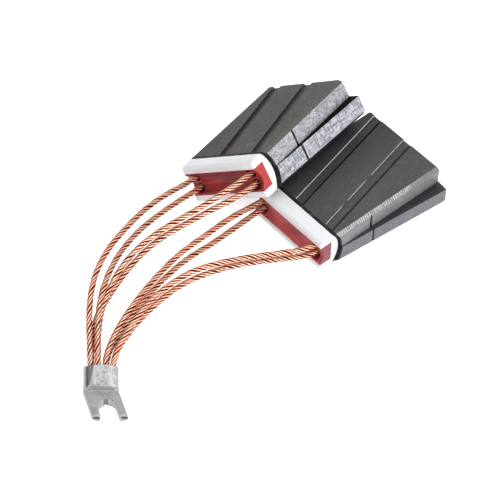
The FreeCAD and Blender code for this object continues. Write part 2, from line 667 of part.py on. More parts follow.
def wafer_placement(level):
    """The upper wafer lies on the brush's frame; the lower is turned over and fanned about its corner."""
    if level == "upper":
        return Placement()
    turned_over = Placement(Vector(0, 0, -2 * size("carbon_thickness")), Rotation(Vector(0, 1, 0), 180))
    corner = Vector(size("carbon_width") / 2, 0, 0)
    fan = Placement(Vector(size("fan_slide"), 0, 0), Rotation(Vector(0, 0, 1), -size("fan_angle")), corner)
    return fan.multiply(turned_over)


TERMINAL = Placement(Vector(size("terminal_x"), size("terminal_y"), size("fork_thickness") / 2),
                     Rotation(size("terminal_yaw"), 0, 0))


def socket_point(brush, level, side, along):
    """A point on a socket's axis, along mm from the wafer's head edge."""
    wafer = brush_placement(brush).multiply(wafer_placement(level))
    across = side if level == "upper" else -side
    return wafer.multVec(Vector(across * (size("carbon_width") / 2 - size("flexible_edge")), along,
                                -size("carbon_thickness") + size("flexible_offset")))


def barrel_point(column, row, out):
    """A flexible's place in the barrel, out mm back from the fold line."""
    bend = math.radians(size("barrel_bend"))
    across = column * size("bundle_pitch")
    rise = row * size("bundle_row_pitch") + size("barrel_rise")
    return TERMINAL.multVec(Vector(-math.cos(bend) * out + math.sin(bend) * rise, across,
                                   math.sin(bend) * out + math.cos(bend) * rise))


# Each flexible: its brush, wafer and side, its column and row in the barrel, and the points
# that its free stretch passes between its socket and the barrel, in the part's frame.
FLEXIBLES = {
    "flexible_a_1": ("a", "upper", -1, -1.5, 0.5, [
        (-19.9, -54.1, 17.9), (-17.8, -66.5, 20.0), (-14.3, -79.2, 21.3), (-10.0, -91.4, 21.7),
        (-4.6, -101.2, 20.8), (1.9, -108.7, 18.8), (8.9, -115.0, 15.7)]),
    "flexible_a_2": ("a", "lower", -1, -0.5, 0.5, [
        (-17.6, -50.1, 12.5), (-15.4, -62.5, 15.3), (-12.0, -75.3, 18.2), (-7.0, -87.6, 20.3),
        (-1.1, -98.3, 20.7), (5.2, -106.7, 19.1), (11.8, -113.2, 15.8)]),
    "flexible_a_3": ("a", "upper", 1, -0.5, -0.5, [
        (2.6, -43.9, 31.2), (1.4, -53.7, 29.6), (-0.4, -63.1, 27.8), (-2.3, -72.7, 25.6),
        (-2.7, -82.9, 23.2), (-0.6, -93.2, 20.3), (3.7, -102.7, 17.2), (9.7, -111.1, 13.7)]),
    "flexible_a_4": ("a", "lower", 1, -1.5, -0.5, [
        (3.9, -43.0, 26.6), (1.8, -52.3, 25.2), (-0.4, -61.4, 23.2), (-2.3, -70.9, 21.2),
        (-2.5, -80.6, 18.9), (-0.5, -90.9, 16.5), (3.0, -101.7, 14.2), (7.6, -112.5, 12.1)]),
    "flexible_b_1": ("b", "upper", -1, 0.5, 0.5, [
        (1.3, -37.9, 12.1), (2.7, -52.1, 13.4), (4.1, -65.8, 15.2), (7.1, -78.7, 16.1),
        (10.5, -90.5, 16.3), (14.0, -101.3, 15.4), (17.8, -110.7, 13.3)]),
    "flexible_b_2": ("b", "lower", -1, 0.5, -0.5, [
        (2.5, -36.4, 6.1), (4.0, -50.2, 7.7), (4.8, -63.0, 10.1), (7.2, -75.8, 11.8),
        (10.6, -88.4, 12.5), (14.2, -99.8, 12.0), (17.0, -108.4, 10.3)]),
    "flexible_b_3": ("b", "upper", 1, 1.5, 0.5, [
        (27.1, -37.4, 12.9), (22.2, -48.5, 14.7), (18.1, -59.3, 16.2), (15.2, -70.6, 17.4),
        (14.7, -82.4, 17.5), (16.0, -93.3, 16.7), (18.7, -103.2, 14.8)]),
    "flexible_b_4": ("b", "lower", 1, 1.5, -0.5, [
        (26.3, -36.5, 8.0), (21.3, -47.7, 9.9), (17.6, -58.6, 11.4), (15.3, -69.9, 12.7),
        (15.0, -81.2, 13.3), (16.4, -92.6, 12.9), (18.4, -103.5, 11.6)]),
}


def build_brush(name):
    """One brush's wafers, pad pieces and tamped plugs."""
    place = brush_placement(name)
    pieces = [
        make_wafer(f"brush_{name}_wafer_upper", place.multiply(wafer_placement("upper"))),
        make_wafer(f"brush_{name}_wafer_lower", place.multiply(wafer_placement("lower"))),
        make_pad_piece(f"brush_{name}_cushion", cushion_sketch, "shell_hole", place),
        make_pad_piece(f"brush_{name}_shell", shell_sketch, "shell_hole", place),
        make_pad_piece(f"brush_{name}_insert", insert_sketch, "insert_hole", place),
    ]
    sockets = [(level, side) for side in (-1, 1) for level in ("upper", "lower")]
    for number, (level, side) in enumerate(sockets, start=1):
        recess = socket_point(name, level, side, size("plug_recess"))
        bottom = socket_point(name, level, side, size("socket_depth"))
        turn = Rotation(Vector(0, 0, 1), bottom - recess)
        pieces.append(make_plug(f"brush_{name}_plug_{number}", Placement(recess, turn)))
    return pieces


def build_flexible(label):
    brush, level, side, column, row, free = FLEXIBLES[label]
    inner_end = size("barrel_end") - size("bundle_depth")
    points = [socket_point(brush, level, side, size("plug_recess") + size("plug_bore_depth")),
              socket_point(brush, level, side, -size("flexible_straight"))]
    points += [Vector(*p) for p in free]
    points.append(barrel_point(column, row, inner_end + size("bundle_run")))
    points.append(barrel_point(column, row, inner_end))
    return make_flexible(label, points)


def check_piece(piece):
    bad = [flag for flag in piece.State if flag in ("Invalid", "Error")]
    shape = piece.Shape
    if bad or shape.isNull() or not shape.isValid() or len(shape.Solids) != 1:
        raise RuntimeError(f"{piece.Label}: state {piece.State}, {len(shape.Solids)} solids")
    box = shape.BoundBox
    print(f"{piece.Label}: {shape.Volume:.1f} mm3, x {box.XMin:.2f} {box.XMax:.2f}, "
          f"y {box.YMin:.2f} {box.YMax:.2f}, z {box.ZMin:.2f} {box.ZMax:.2f}")


def main():
    pieces = build_brush("a") + build_brush("b")
    pieces.append(make_terminal("terminal", TERMINAL))
    pieces += [build_flexible(label) for label in FLEXIBLES]
    doc.recompute()
    for item in doc.Objects:
        if "Invalid" in item.State or "Error" in item.State:
            raise RuntimeError(f"{item.Label}: {item.State}")
    os.makedirs("parts", exist_ok=True)
    for piece in pieces:
        check_piece(piece)
        piece.Shape.exportStep(f"parts/{piece.Label}.step")


main()
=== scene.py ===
"""Dresses a pair of traction-motor carbon brushes that share one fork terminal.

Two split brushes lie on a white table. Brush B is flat and brush A leans on its edge. Each has two carbon
wafers under a pressure pad: a dark cushion, a white channel and a red rubber strip. Eight bare copper
flexibles run from the wafers to one crimped terminal.
"""

import sys
import logging
import math
from dataclasses import dataclass, field
from enum import Enum
from typing import Optional, Sequence, Union

import bmesh
import bpy
import numpy as np
from mathutils import Matrix, Vector


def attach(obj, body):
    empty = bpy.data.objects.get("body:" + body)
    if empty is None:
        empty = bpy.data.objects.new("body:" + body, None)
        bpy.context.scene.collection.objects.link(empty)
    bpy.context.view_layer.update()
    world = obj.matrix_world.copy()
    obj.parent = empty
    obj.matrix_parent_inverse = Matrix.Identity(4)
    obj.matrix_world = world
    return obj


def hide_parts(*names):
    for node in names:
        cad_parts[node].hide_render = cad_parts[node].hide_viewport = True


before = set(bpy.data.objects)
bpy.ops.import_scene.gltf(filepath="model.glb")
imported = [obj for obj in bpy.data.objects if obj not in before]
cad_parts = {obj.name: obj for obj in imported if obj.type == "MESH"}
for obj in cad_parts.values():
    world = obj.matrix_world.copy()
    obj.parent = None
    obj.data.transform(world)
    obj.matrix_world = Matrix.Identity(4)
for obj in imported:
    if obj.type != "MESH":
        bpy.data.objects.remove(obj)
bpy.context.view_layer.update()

MM = 0.001
LOG = logging.getLogger("carbon_brush")

Point = tuple[float, float, float]
Span = tuple[float, float]
Tone = tuple[float, float, float, float]
Material = bpy.types.Material
Thing = bpy.types.Object
Socket = bpy.types.NodeSocket
Value = Union[Socket, float]
Colour = Union[Socket, Tone]


class Level(Enum):
    """Which wafer of a brush."""

    UPPER = "upper"
    LOWER = "lower"


class Face(Enum):
    """The faces of a wafer, each with a finish of its own."""

    BROAD = 0
    GROOVE = 1
    NARROW = 2
    CHAMFER = 3
    # JOINT faces take painted shade between the wafers, LIT_WALL faces the walls' painted highlight (shade on
    # brush A), DARK_CORNER faces painted shadow.
    JOINT = 4
    END = 5
    LIT_WALL = 6
    DARK_CORNER = 7


def tone(red: int, green: int, blue: int) -> Tone:
    """Turn a colour as it is seen, 0 to 255, into the linear colour that a shader takes.

    Args:
        red: The red share, 0 to 255.
        green: The green share, 0 to 255.
        blue: The blue share, 0 to 255.

    Returns:
        Linear red, green, blue and an opacity of 1.
    """
    def linear(value: int) -> float:
        """Undo the display curve of one share."""
        share = value / 255
        return share / 12.92 if share <= 0.04045 else ((share + 0.055) / 1.055) ** 2.4

    return linear(red), linear(green), linear(blue), 1.0


# Finishes


class Recipe:
    """A material's node graph, with a short call for each kind of node that the finishes use."""

    def __init__(self, name: str) -> None:
        """Start a material with an empty graph, a principled shader and an output.

        Args:
            name: The material's name.
        """
        self.material = bpy.data.materials.new(name)
        self.material.use_nodes = True
        self.tree = self.material.node_tree
        self.tree.nodes.clear()
        self.shader = self.tree.nodes.new("ShaderNodeBsdfPrincipled")
        self.output = self.tree.nodes.new("ShaderNodeOutputMaterial")
        self.join(self.shader.outputs["BSDF"], self.output.inputs["Surface"])

    def join(self, source: Value, target: Socket) -> None:
        """Link a socket to an input, or write a plain value or colour on it.

        Args:
            source: A socket, a number or a colour.
            target: The input that it goes to.
        """
        if isinstance(source, bpy.types.NodeSocket):
            self.tree.links.new(source, target)
        else:
            target.default_value = source

    def place(self, stretch: Point = (1.0, 1.0, 1.0), turn: float = 0.0, tip: float = 0.0) -> Socket:
        """Give the point on the piece in its own frame, in metres.

        Args:
            stretch: What each axis is multiplied by.
            turn: A turn about the piece's Z axis before the stretch, in degrees.
            tip: A turn about the piece's X axis before the stretch, in degrees.

        Returns:
            The socket with the point.
        """
        spot = self.tree.nodes.new("ShaderNodeTexCoord").outputs["Object"]
        if turn or tip:
            turned = self.tree.nodes.new("ShaderNodeMapping")
            turned.inputs["Rotation"].default_value = (math.radians(tip), 0.0, math.radians(turn))
            self.join(spot, turned.inputs["Vector"])
            spot = turned.outputs["Vector"]
        if stretch == (1.0, 1.0, 1.0):
            return spot
        mapping = self.tree.nodes.new("ShaderNodeMapping")
        mapping.inputs["Scale"].default_value = stretch
        self.join(spot, mapping.inputs["Vector"])
        return mapping.outputs["Vector"]

    def along(self, axis: str) -> Socket:
        """Give one coordinate of the point on the piece, in metres.

        Args:
            axis: X, Y or Z.

        Returns:
            The socket with the coordinate.
        """
        split = self.tree.nodes.new("ShaderNodeSeparateXYZ")
        self.join(self.place(), split.inputs[0])
        return split.outputs[axis]

    def layer(self, name: str) -> Socket:
        """Give a number that the mesh carries on its points.

        Args:
            name: The layer's name.

        Returns:
            The socket with the number.
        """
        node = self.tree.nodes.new("ShaderNodeAttribute")
        node.attribute_name = name
        return node.outputs["Fac"]

    def wound(self) -> tuple[Socket, Socket]:
        """Give the two coordinates of a strand: along it, and round it.

        Returns:
            Two sockets, u and v.
        """
        split = self.tree.nodes.new("ShaderNodeSeparateXYZ")
        node = self.tree.nodes.new("ShaderNodeUVMap")
        self.join(node.outputs["UV"], split.inputs[0])
        return split.outputs["X"], split.outputs["Y"]

    def cloud(self, scale: float, detail: float = 3.0, rough: float = 0.5, spot: Optional[Socket] = None,
              twist: float = 0.0) -> Socket:
        """Give soft noise between 0 and 1.

        Args:
            scale: Features per metre.
            detail: Octaves.
            rough: How strong the fine octaves are.
            spot: The point to read it at, the piece's own frame if none is given.
            twist: How far the noise bends itself.

        Returns:
            The socket with the noise.
        """
        node = self.tree.nodes.new("ShaderNodeTexNoise")
        node.inputs["Scale"].default_value = scale
        node.inputs["Detail"].default_value = detail
        node.inputs["Roughness"].default_value = rough
        node.inputs["Distortion"].default_value = twist
        self.join(spot if spot is not None else self.place(), node.inputs["Vector"])
        return node.outputs[0]

    def cells(self, scale: float, spot: Optional[Socket] = None) -> Socket:
        """Give the distance to the nearest of many scattered points.

        Args:
            scale: Points per metre.
            spot: The point to read it at.

        Returns:
            The socket with the distance.
        """
        node = self.tree.nodes.new("ShaderNodeTexVoronoi")
        node.inputs["Scale"].default_value = scale
        self.join(spot if spot is not None else self.place(), node.inputs["Vector"])
        return node.outputs["Distance"]

    def sum_of(self, kind: str, first: Value, second: Value = 0.0) -> Socket:
        """Give the result of one piece of arithmetic.

        Args:
            kind: The operation's name.
            first: The first number or socket.
            second: The second number or socket.

        Returns:
            The socket with the result.
        """
        node = self.tree.nodes.new("ShaderNodeMath")
        node.operation = kind
        self.join(first, node.inputs[0])
        self.join(second, node.inputs[1])
        return node.outputs[0]

    def times(self, first: Value, second: Value) -> Socket:
        """Give the product of two numbers or sockets."""
        return self.sum_of("MULTIPLY", first, second)

    def plus(self, first: Value, second: Value) -> Socket:
        """Give the sum of two numbers or sockets."""
        return self.sum_of("ADD", first, second)

    def between(self, value: Value, low: float, high: float, start: float = 0.0, end: float = 1.0) -> Socket:
        """Spread a value smoothly from start, at low, to end, at high.

        Args:
            value: The number or socket.
            low: Where the spread begins.
            high: Where it ends.
            start: The result at low and below.
            end: The result at high and above.

        Returns:
            The socket with the spread value.
        """
        node = self.tree.nodes.new("ShaderNodeMapRange")
        node.interpolation_type = "SMOOTHSTEP"
        node.inputs["From Min"].default_value = low
        node.inputs["From Max"].default_value = high
        node.inputs["To Min"].default_value = start
        node.inputs["To Max"].default_value = end
        self.join(value, node.inputs["Value"])
        return node.outputs["Result"]

    def thread(self, noise: Socket, width: float) -> Socket:
        """Give thin lines, where soft noise crosses its middle value.

        Args:
            noise: The noise, 0 to 1.
            width: How far from the middle a line reaches.

        Returns:
            The socket, 1 on the lines and 0 elsewhere.
        """
        off = self.sum_of("ABSOLUTE", self.sum_of("SUBTRACT", noise, 0.5))
        return self.between(off, width * 0.3, width, 1.0, 0.0)

    def blend(self, share: Value, under: Colour, over: Colour) -> Socket:
        """Lay one colour over another.

        Args:
            share: How much of the upper colour shows.
            under: The lower colour.
            over: The upper colour.

        Returns:
            The socket with the mixed colour.
        """
        node = self.tree.nodes.new("ShaderNodeMix")
        node.data_type = "RGBA"
        self.join(share, node.inputs[0])
        self.join(under, node.inputs[6])
        self.join(over, node.inputs[7])
        return node.outputs[2]

    def cover(self, under: Colour, over: Colour, value: Value, low: float, high: float,
              share: float = 1.0) -> Socket:
        """Lay one colour over another where a value is high.

        Args:
            under: The lower colour.
            over: The upper colour.
            value: The number or socket that decides.
            low: Where the upper colour begins to show.
            high: Where it shows most.
            share: How much of it shows there.

        Returns:
            The socket with the mixed colour.
        """
        return self.blend(self.between(value, low, high, 0.0, share), under, over)

    def relief(self, height: Socket, deep: float, strength: float = 1.0,
               under: Optional[Socket] = None) -> Socket:
        """Turn a height into a bent surface direction.

        Args:
            height: The socket with the height, 0 to 1.
            deep: What a height of 1 stands for, in metres.
            strength: How much of it shows.
            under: The direction from a coarser relief, if there is one.

        Returns:
            The socket with the direction.
        """
        node = self.tree.nodes.new("ShaderNodeBump")
        node.inputs["Distance"].default_value = deep
        node.inputs["Strength"].default_value = strength
        self.join(height, node.inputs["Height"])
        if under is not None:
            self.join(under, node.inputs["Normal"])
        return node.outputs["Normal"]

    def finish(self, colour: Colour, rough: Value, normal: Optional[Socket] = None,
               **plain: float) -> Material:
        """Wire the shader and hand the material over.

        Args:
            colour: The surface's colour.
            rough: Its roughness.
            normal: Its bent direction.
            plain: Values that are the same all over, written on the shader's own sockets.

        Returns:
            The finished material.
        """
        self.join(colour, self.shader.inputs["Base Color"])
        self.join(rough, self.shader.inputs["Roughness"])
        if normal is not None:
            self.join(normal, self.shader.inputs["Normal"])
        for name, value in plain.items():
            self.shader.inputs[name.replace("_", " ").title().replace("Ior", "IOR")].default_value = value
        return self.material


@dataclass(frozen=True)
class PressedCarbon:
    """A wafer's broad face: pressed and baked carbon, a faint grain, rubbed edges and painted shade at one
    side.
    """

    name: str
    body: Tone
    pale: Tone
    deep: Tone
    rubbed: Tone
    weave: float = 0.5
    # Painted shade: how far the face darkens towards low X, and the tone it darkens to.
    shadow_share: float = 0.0
    shadow_tone: Tone = tone(26, 26, 28)
    shine: float = 0.4
    roughness: float = 0.5
    drift_scale: float = 45.0
    grain_scale: float = 2600.0
    drawn_scale: float = 1500.0
    crossed_scale: float = 1300.0
    pit_scale: float = 1500.0
    chip_scale: float = 1300.0
    # Where the painted shade begins, and where it is full, along X.
    shadow_none_at: float = 16.0 * MM
    shadow_full_at: float = -18.0 * MM
    relief_depth: float = 0.03 * MM

    def make(self) -> Material:
        """Make the material."""
        mix = Recipe(self.name)
        drift = mix.cloud(self.drift_scale)
        grain = mix.cloud(self.grain_scale, 4, 0.7)
        drawn = mix.cloud(self.drawn_scale, 3, 0.6, mix.place((1.0, 0.16, 1.0)))
        crossed = mix.cloud(self.crossed_scale, 3, 0.6, mix.place((0.22, 1.0, 1.0)))
        colour = mix.cover(self.deep, self.body, drift, 0.3, 0.72)
        colour = mix.cover(colour, self.pale, drawn, 0.46, 0.7, self.weave)
        colour = mix.cover(colour, self.deep, crossed, 0.5, 0.72, 0.7 * self.weave)
        colour = mix.cover(colour, self.pale, grain, 0.55, 0.8, 0.4)
        pits = mix.between(mix.cells(self.pit_scale), 0.0, 0.2, 0.5, 0.0)
        colour = mix.blend(pits, colour, self.deep)
        # Painted shade: the face darkens smoothly towards low X.
        left = mix.between(mix.along("X"), self.shadow_full_at, self.shadow_none_at, self.shadow_share, 0.0)
        colour = mix.blend(left, colour, self.shadow_tone)
        chips = mix.times(mix.between(mix.cloud(self.chip_scale, 4, 0.7), 0.42, 0.62), mix.layer("wear"))
        colour = mix.cover(colour, self.rubbed, chips, 0.25, 0.85)
        rough = mix.between(drift, 0.2, 0.8, self.roughness - 0.07, self.roughness + 0.08)
        normal = mix.relief(mix.plus(grain, drawn), self.relief_depth, 0.5)
        return mix.finish(colour, rough, normal, specular_ior_level=self.shine)


@dataclass(frozen=True)
class SawnCarbon:
    """A wafer's narrow face: sawn square, so it is scored in two directions and catches the light."""

    name: str
    body: Tone
    pale: Tone
    deep: Tone
    line: Tone
    slope: float = 0.0
    scored: float = 0.8
    score_scale: float = 520.0
    score_width: float = 0.05
    haze_scale: float = 1500.0
    speck_scale: float = 2300.0
    drift_scale: float = 150.0
    line_at: float = 17.3 * MM
    line_width: float = 0.74 * MM
    roughness: float = 0.42
    relief_depth: float = 0.05 * MM

    def scores(self, mix: Recipe, scale: float, stretch: Point) -> Socket:
        """Give the saw's scores in one direction.

        Args:
            mix: The material's recipe.
            scale: How many there are in a metre.
            stretch: What each axis is multiplied by, small along the scores.

        Returns:
            The socket, 1 on the scores.
        """
        return mix.thread(mix.cloud(scale, 2, 0.5, mix.place(stretch, tip=self.slope)), self.score_width)

    def make(self) -> Material:
        """Make the material."""
        mix = Recipe(self.name)
        cross = self.scores(mix, self.score_scale, (1.0, 1.0, 0.14))
        length = self.scores(mix, 1.1 * self.score_scale, (1.0, 0.12, 1.0))
        haze = mix.cloud(self.haze_scale, 3, 0.65, mix.place((1.0, 1.0, 0.2), tip=self.slope))
        speck = mix.cloud(self.speck_scale, 3, 0.7)
        colour = mix.cover(self.body, self.pale, mix.cloud(self.drift_scale), 0.3, 0.7, 0.4)
        colour = mix.cover(colour, self.deep, haze, 0.5, 0.7, 0.5)
        for score in (cross, length):
            colour = mix.cover(colour, self.deep, score, 0.0, 1.0, self.scored)
        colour = mix.cover(colour, self.pale, speck, 0.54, 0.7, 0.75)
        inside = mix.sum_of("ABSOLUTE", mix.sum_of("SUBTRACT", mix.along("Y"), self.line_at))
        cut = mix.between(inside, self.line_width * 0.6, self.line_width * 0.8, 1.0, 0.0)
        colour = mix.blend(cut, colour, self.line)
        rough = mix.between(speck, 0.3, 0.7, self.roughness - 0.1, self.roughness + 0.15)
        normal = mix.relief(mix.plus(cross, haze), self.relief_depth, 0.5)
        return mix.finish(colour, rough, normal, specular_ior_level=0.5)


@dataclass(frozen=True)
class FiledChamfer:
    """A wafer's broken long edge: clusters of bright file marks near the head, plainer towards the end."""

    name: str
    body: Tone
    mark: Tone
    strength: float = 1.0
    plain: Tone = tone(66, 65, 67)
    pitch: float = 1.0 * MM
    wander: float = 7.0
    wander_scale: float = 330.0
    cluster_scale: float = 420.0
    speck_scale: float = 1800.0
    marked_length: float = 40.0 * MM
    roughness: float = 0.4
    relief_depth: float = 0.05 * MM

    def make(self) -> Material:
        """Make the material."""
        mix = Recipe(self.name)
        place = mix.along("Y")
        phase = mix.plus(mix.times(place, 2 * math.pi / self.pitch),
                         mix.times(mix.cloud(self.wander_scale, 2), self.wander))
        ticks = mix.between(mix.sum_of("SINE", phase), -0.55, 0.25)
        broken = mix.between(mix.cloud(self.cluster_scale, 2), 0.36, 0.52, 0.25, 1.0)
        start, end = self.marked_length - 3 * MM, self.marked_length + 2 * MM
        near = mix.between(place, start, end, self.strength, 0.0)
        speck = mix.cloud(self.speck_scale, 3, 0.6)
        colour = mix.cover(self.body, self.mark, speck, 0.4, 0.75, 0.35)
        colour = mix.blend(mix.times(mix.times(ticks, near), broken), colour, self.mark)
        colour = mix.cover(self.plain, colour, mix.along("X"), -1 * MM, 1 * MM)
        rough = mix.between(speck, 0.3, 0.7, self.roughness - 0.08, self.roughness + 0.1)
        return mix.finish(colour, rough, mix.relief(ticks, self.relief_depth, 0.35), specular_ior_level=0.5)


@dataclass(frozen=True)
class GrooveWall:
    """A groove's near wall: milled, a painted highlight along its top, partly a rubbed edge, fading to one
    side.
    """

    name: str
    bright: Tone
    dull: Tone
    break_scale: float = 260.0
    fine_scale: float = 1800.0
    lip_low: float = -0.54 * MM
    lip_high: float = -0.38 * MM
    roughness: float = 0.4
    relief_depth: float = 0.03 * MM

    def make(self) -> Material:
        """Make the material."""
        mix = Recipe(self.name)
        broken = mix.cloud(self.break_scale, 3, 0.6)
        fine = mix.cloud(self.fine_scale, 3, 0.6)
        # Painted highlight where the lit wall meets the face, partly a rubbed edge: fading towards high X,
        # broken by noise.
        far = mix.between(mix.along("X"), -5.0 * MM, 3.0 * MM, 0.0, 0.08)
        gone = mix.plus(far, mix.times(fine, 0.12))
        shown = mix.between(mix.sum_of("SUBTRACT", broken, gone), 0.2, 0.3)
        lip = mix.between(mix.along("Z"), self.lip_low, self.lip_high)
        colour = mix.blend(mix.times(shown, lip), self.dull, self.bright)
        rough = mix.between(fine, 0.3, 0.7, self.roughness - 0.1, self.roughness + 0.1)
        return mix.finish(colour, rough, mix.relief(fine, self.relief_depth, 0.5), specular_ior_level=0.5)


@dataclass(frozen=True)
class MouldedPlastic:
    """The channel's glossy white plastic, with a faint flow pattern and scuffed lips."""

    name: str = "moulded_white_plastic"
    body: Tone = tone(248, 249, 252)
    shade: Tone = tone(238, 240, 246)
    scuff: Tone = tone(206, 207, 212)
    flow_scale: float = 110.0
    fine_scale: float = 3000.0
    scuff_scale: float = 900.0
    relief_depth: float = 0.02 * MM

    def make(self) -> Material:
        """Make the material."""
        mix = Recipe(self.name)
        flow = mix.cloud(self.flow_scale, 3, 0.5, mix.place((0.25, 1.0, 1.0)), 0.6)
        fine = mix.cloud(self.fine_scale, 3, 0.6)
        colour = mix.cover(self.body, self.shade, flow, 0.3, 0.75, 0.7)
        rub = mix.times(mix.between(mix.cloud(self.scuff_scale, 4, 0.7), 0.55, 0.7), mix.layer("wear"))
        colour = mix.cover(colour, self.scuff, rub, 0.3, 0.9, 0.6)
        rough = mix.between(flow, 0.3, 0.7, 0.3, 0.42)
        normal = mix.relief(mix.plus(fine, flow), self.relief_depth, 0.35)
        return mix.finish(colour, rough, normal, specular_ior_level=0.4)


@dataclass(frozen=True)
class MouldedRubber:
    """The strip's red rubber, shinier down in the trough; its end and trough tones, coral to dark red, are
    painted light.
    """

    name: str
    end: Tone
    trough: Tone
    deep: Tone
    half_length: float = 18.75 * MM
    drift_scale: float = 130.0
    grain_scale: float = 2800.0
    streak_scale: float = 600.0
    relief_depth: float = 0.04 * MM

    def make(self) -> Material:
        """Make the material."""
        mix = Recipe(self.name)
        reach = mix.sum_of("ABSOLUTE", mix.along("X"))
        drift = mix.cloud(self.drift_scale, 3, 0.55)
        grain = mix.cloud(self.grain_scale, 3, 0.6)
        streak = mix.cloud(self.streak_scale, 3, 0.6, mix.place((0.08, 1.0, 1.0)))
        lining = mix.cover(self.deep, self.trough, drift, 0.32, 0.7)
        lining = mix.cover(lining, self.end, streak, 0.5, 0.75, 0.5)
        ends = (self.half_length - 0.25 * MM, self.half_length - 0.05 * MM)
        # The cut ends and the trough take the per-brush tones, which are painted light and shade.
        colour = mix.cover(lining, self.end, reach, *ends)
        colour = mix.cover(colour, self.deep, grain, 0.5, 0.8, 0.3)
        rough = mix.between(grain, 0.3, 0.7, 0.38, 0.55)
        normal = mix.relief(mix.plus(grain, streak), self.relief_depth, 0.45)
        return mix.finish(colour, rough, normal, specular_ior_level=0.3)


@dataclass(frozen=True)
class DarkRubber:
    """The cushion's dark layered rubber, with brown glue showing at its edges."""

    name: str = "dark_cushion_rubber"
    body: Tone = tone(37, 34, 32)
    glue: Tone = tone(92, 78, 70)
    patch_scale: float = 260.0
    grain_scale: float = 3000.0
    relief_depth: float = 0.06 * MM

    def make(self) -> Material:
        """Make the material."""
        mix = Recipe(self.name)
        patch = mix.cloud(self.patch_scale, 3, 0.6)
        grain = mix.cloud(self.grain_scale, 3, 0.6)
        colour = mix.cover(self.body, self.glue, patch, 0.5, 0.72, 0.7)
        rough = mix.between(grain, 0.3, 0.7, 0.6, 0.8)
        normal = mix.relief(mix.plus(grain, patch), self.relief_depth, 0.5)
        return mix.finish(colour, rough, normal, specular_ior_level=0.15)


@dataclass(frozen=True)
class CopperStrand:
    """A strand of fine bare copper wires: painted highlight on its crown, painted shade between its
    neighbours.
    """

    name: str = "bare_copper_strand"
    bright: Tone = tone(255, 236, 206)
    body: Tone = tone(218, 84, 38)
    aged: Tone = tone(172, 50, 18)
    crevice_shade: Tone = tone(82, 16, 5)
    wires: int = 9
    lay: float = 6.0
    drift_scale: float = 140.0
    tarnish_scale: float = 700.0
    relief_depth: float = 0.03 * MM

    def make(self) -> Material:
        """Make the material."""
        mix = Recipe(self.name)
        along, around = mix.wound()
        wire = mix.sum_of("SINE", mix.plus(mix.times(around, 2 * math.pi * self.wires),
                                           mix.times(along, self.lay)))
        outward = mix.sum_of("COSINE", mix.times(around, 2 * math.pi))
        tarnish = mix.cloud(self.tarnish_scale, 3, 0.6)
        colour = mix.cover(self.aged, self.body, tarnish, 0.35, 0.72)
        colour = mix.cover(colour, self.bright, mix.cloud(self.drift_scale, 3, 0.55), 0.35, 0.7, 0.12)
        # Painted highlight: a cream band along each strand's outer crown.
        colour = mix.cover(colour, self.bright, outward, 0.87, 0.985, 0.95)
        # Painted shade: the strand darkens down its sides towards its neighbours, and faintly between its
        # wires.
        colour = mix.blend(mix.between(outward, 0.25, 0.86, 1.0, 0.0), colour, self.crevice_shade)
        colour = mix.blend(mix.between(wire, -1.0, -0.5, 0.1, 0.0), colour, self.crevice_shade)
        rough = mix.between(tarnish, 0.3, 0.7, 0.18, 0.28)
        normal = mix.relief(mix.between(wire, -1.0, 1.0), self.relief_depth, 0.15)
        return mix.finish(colour, rough, normal, metallic=0.5, specular_ior_level=0.25)


@dataclass(frozen=True)
class TampedCopper:
    """The plugs of tamped copper powder in the sockets."""

    name: str = "tamped_copper_powder"
    body: Tone = tone(176, 98, 66)
    deep: Tone = tone(96, 46, 30)
    grain_scale: float = 4000.0
    patch_scale: float = 900.0
    relief_depth: float = 0.1 * MM

    def make(self) -> Material:
        """Make the material."""
        mix = Recipe(self.name)
        grain = mix.cloud(self.grain_scale, 4, 0.7)
        colour = mix.cover(self.deep, self.body, grain, 0.35, 0.65)
        rough = mix.between(mix.cloud(self.patch_scale), 0.3, 0.7, 0.5, 0.7)
        return mix.finish(colour, rough, mix.relief(grain, self.relief_depth, 0.8), metallic=0.6)


@dataclass(frozen=True)
class TinnedMetal:
    """The terminal's dull tin plating, smeared by the crimping tool, with painted shade and highlights."""

    name: str = "dull_tin_plating"
    body: Tone = tone(165, 165, 167)
    pale: Tone = tone(188, 188, 189)
    deep: Tone = tone(84, 84, 86)
    shade_and_grime_tone: Tone = tone(111, 111, 113)
    brush_turn: float = 0.7
    smear_scale: float = 420.0
    fine_scale: float = 2400.0
    brushed_scale: float = 1200.0
    relief_depth: float = 0.06 * MM

    def make(self) -> Material:
        """Make the material."""
        mix = Recipe(self.name)
        smear = mix.cloud(self.smear_scale, 4, 0.6, twist=0.8)
        fine = mix.cloud(self.fine_scale, 4, 0.65)
        brushed = mix.cloud(self.brushed_scale, 3, 0.6, mix.place((0.15, 1.0, 1.0), self.brush_turn))
        colour = mix.cover(self.body, self.pale, smear, 0.35, 0.7, 0.4)
        colour = mix.cover(colour, self.deep, brushed, 0.52, 0.72, 0.4)
        colour = mix.cover(colour, self.deep, fine, 0.56, 0.76, 0.5)
        # Rubbed by the crimping tool on the flat, plus painted highlight on the ridge, fold and slot wall:
        # lighter where the layer is high.
        rubbed = mix.times(mix.layer("pressed"), mix.between(smear, 0.42, 0.62))
        colour = mix.cover(colour, self.pale, rubbed, 0.05, 1.0)
        # Painted shade with a little grime: darker in the crimp's valley, ring, crease and seam slit.
        colour = mix.cover(colour, self.shade_and_grime_tone, mix.layer("shade_and_grime"), 0.1, 1.0, 0.75)
        rough = mix.between(smear, 0.3, 0.7, 0.34, 0.52)
        normal = mix.relief(mix.plus(fine, smear), self.relief_depth, 0.5)
        return mix.finish(colour, rough, normal, metallic=0.5, specular_ior_level=0.5)


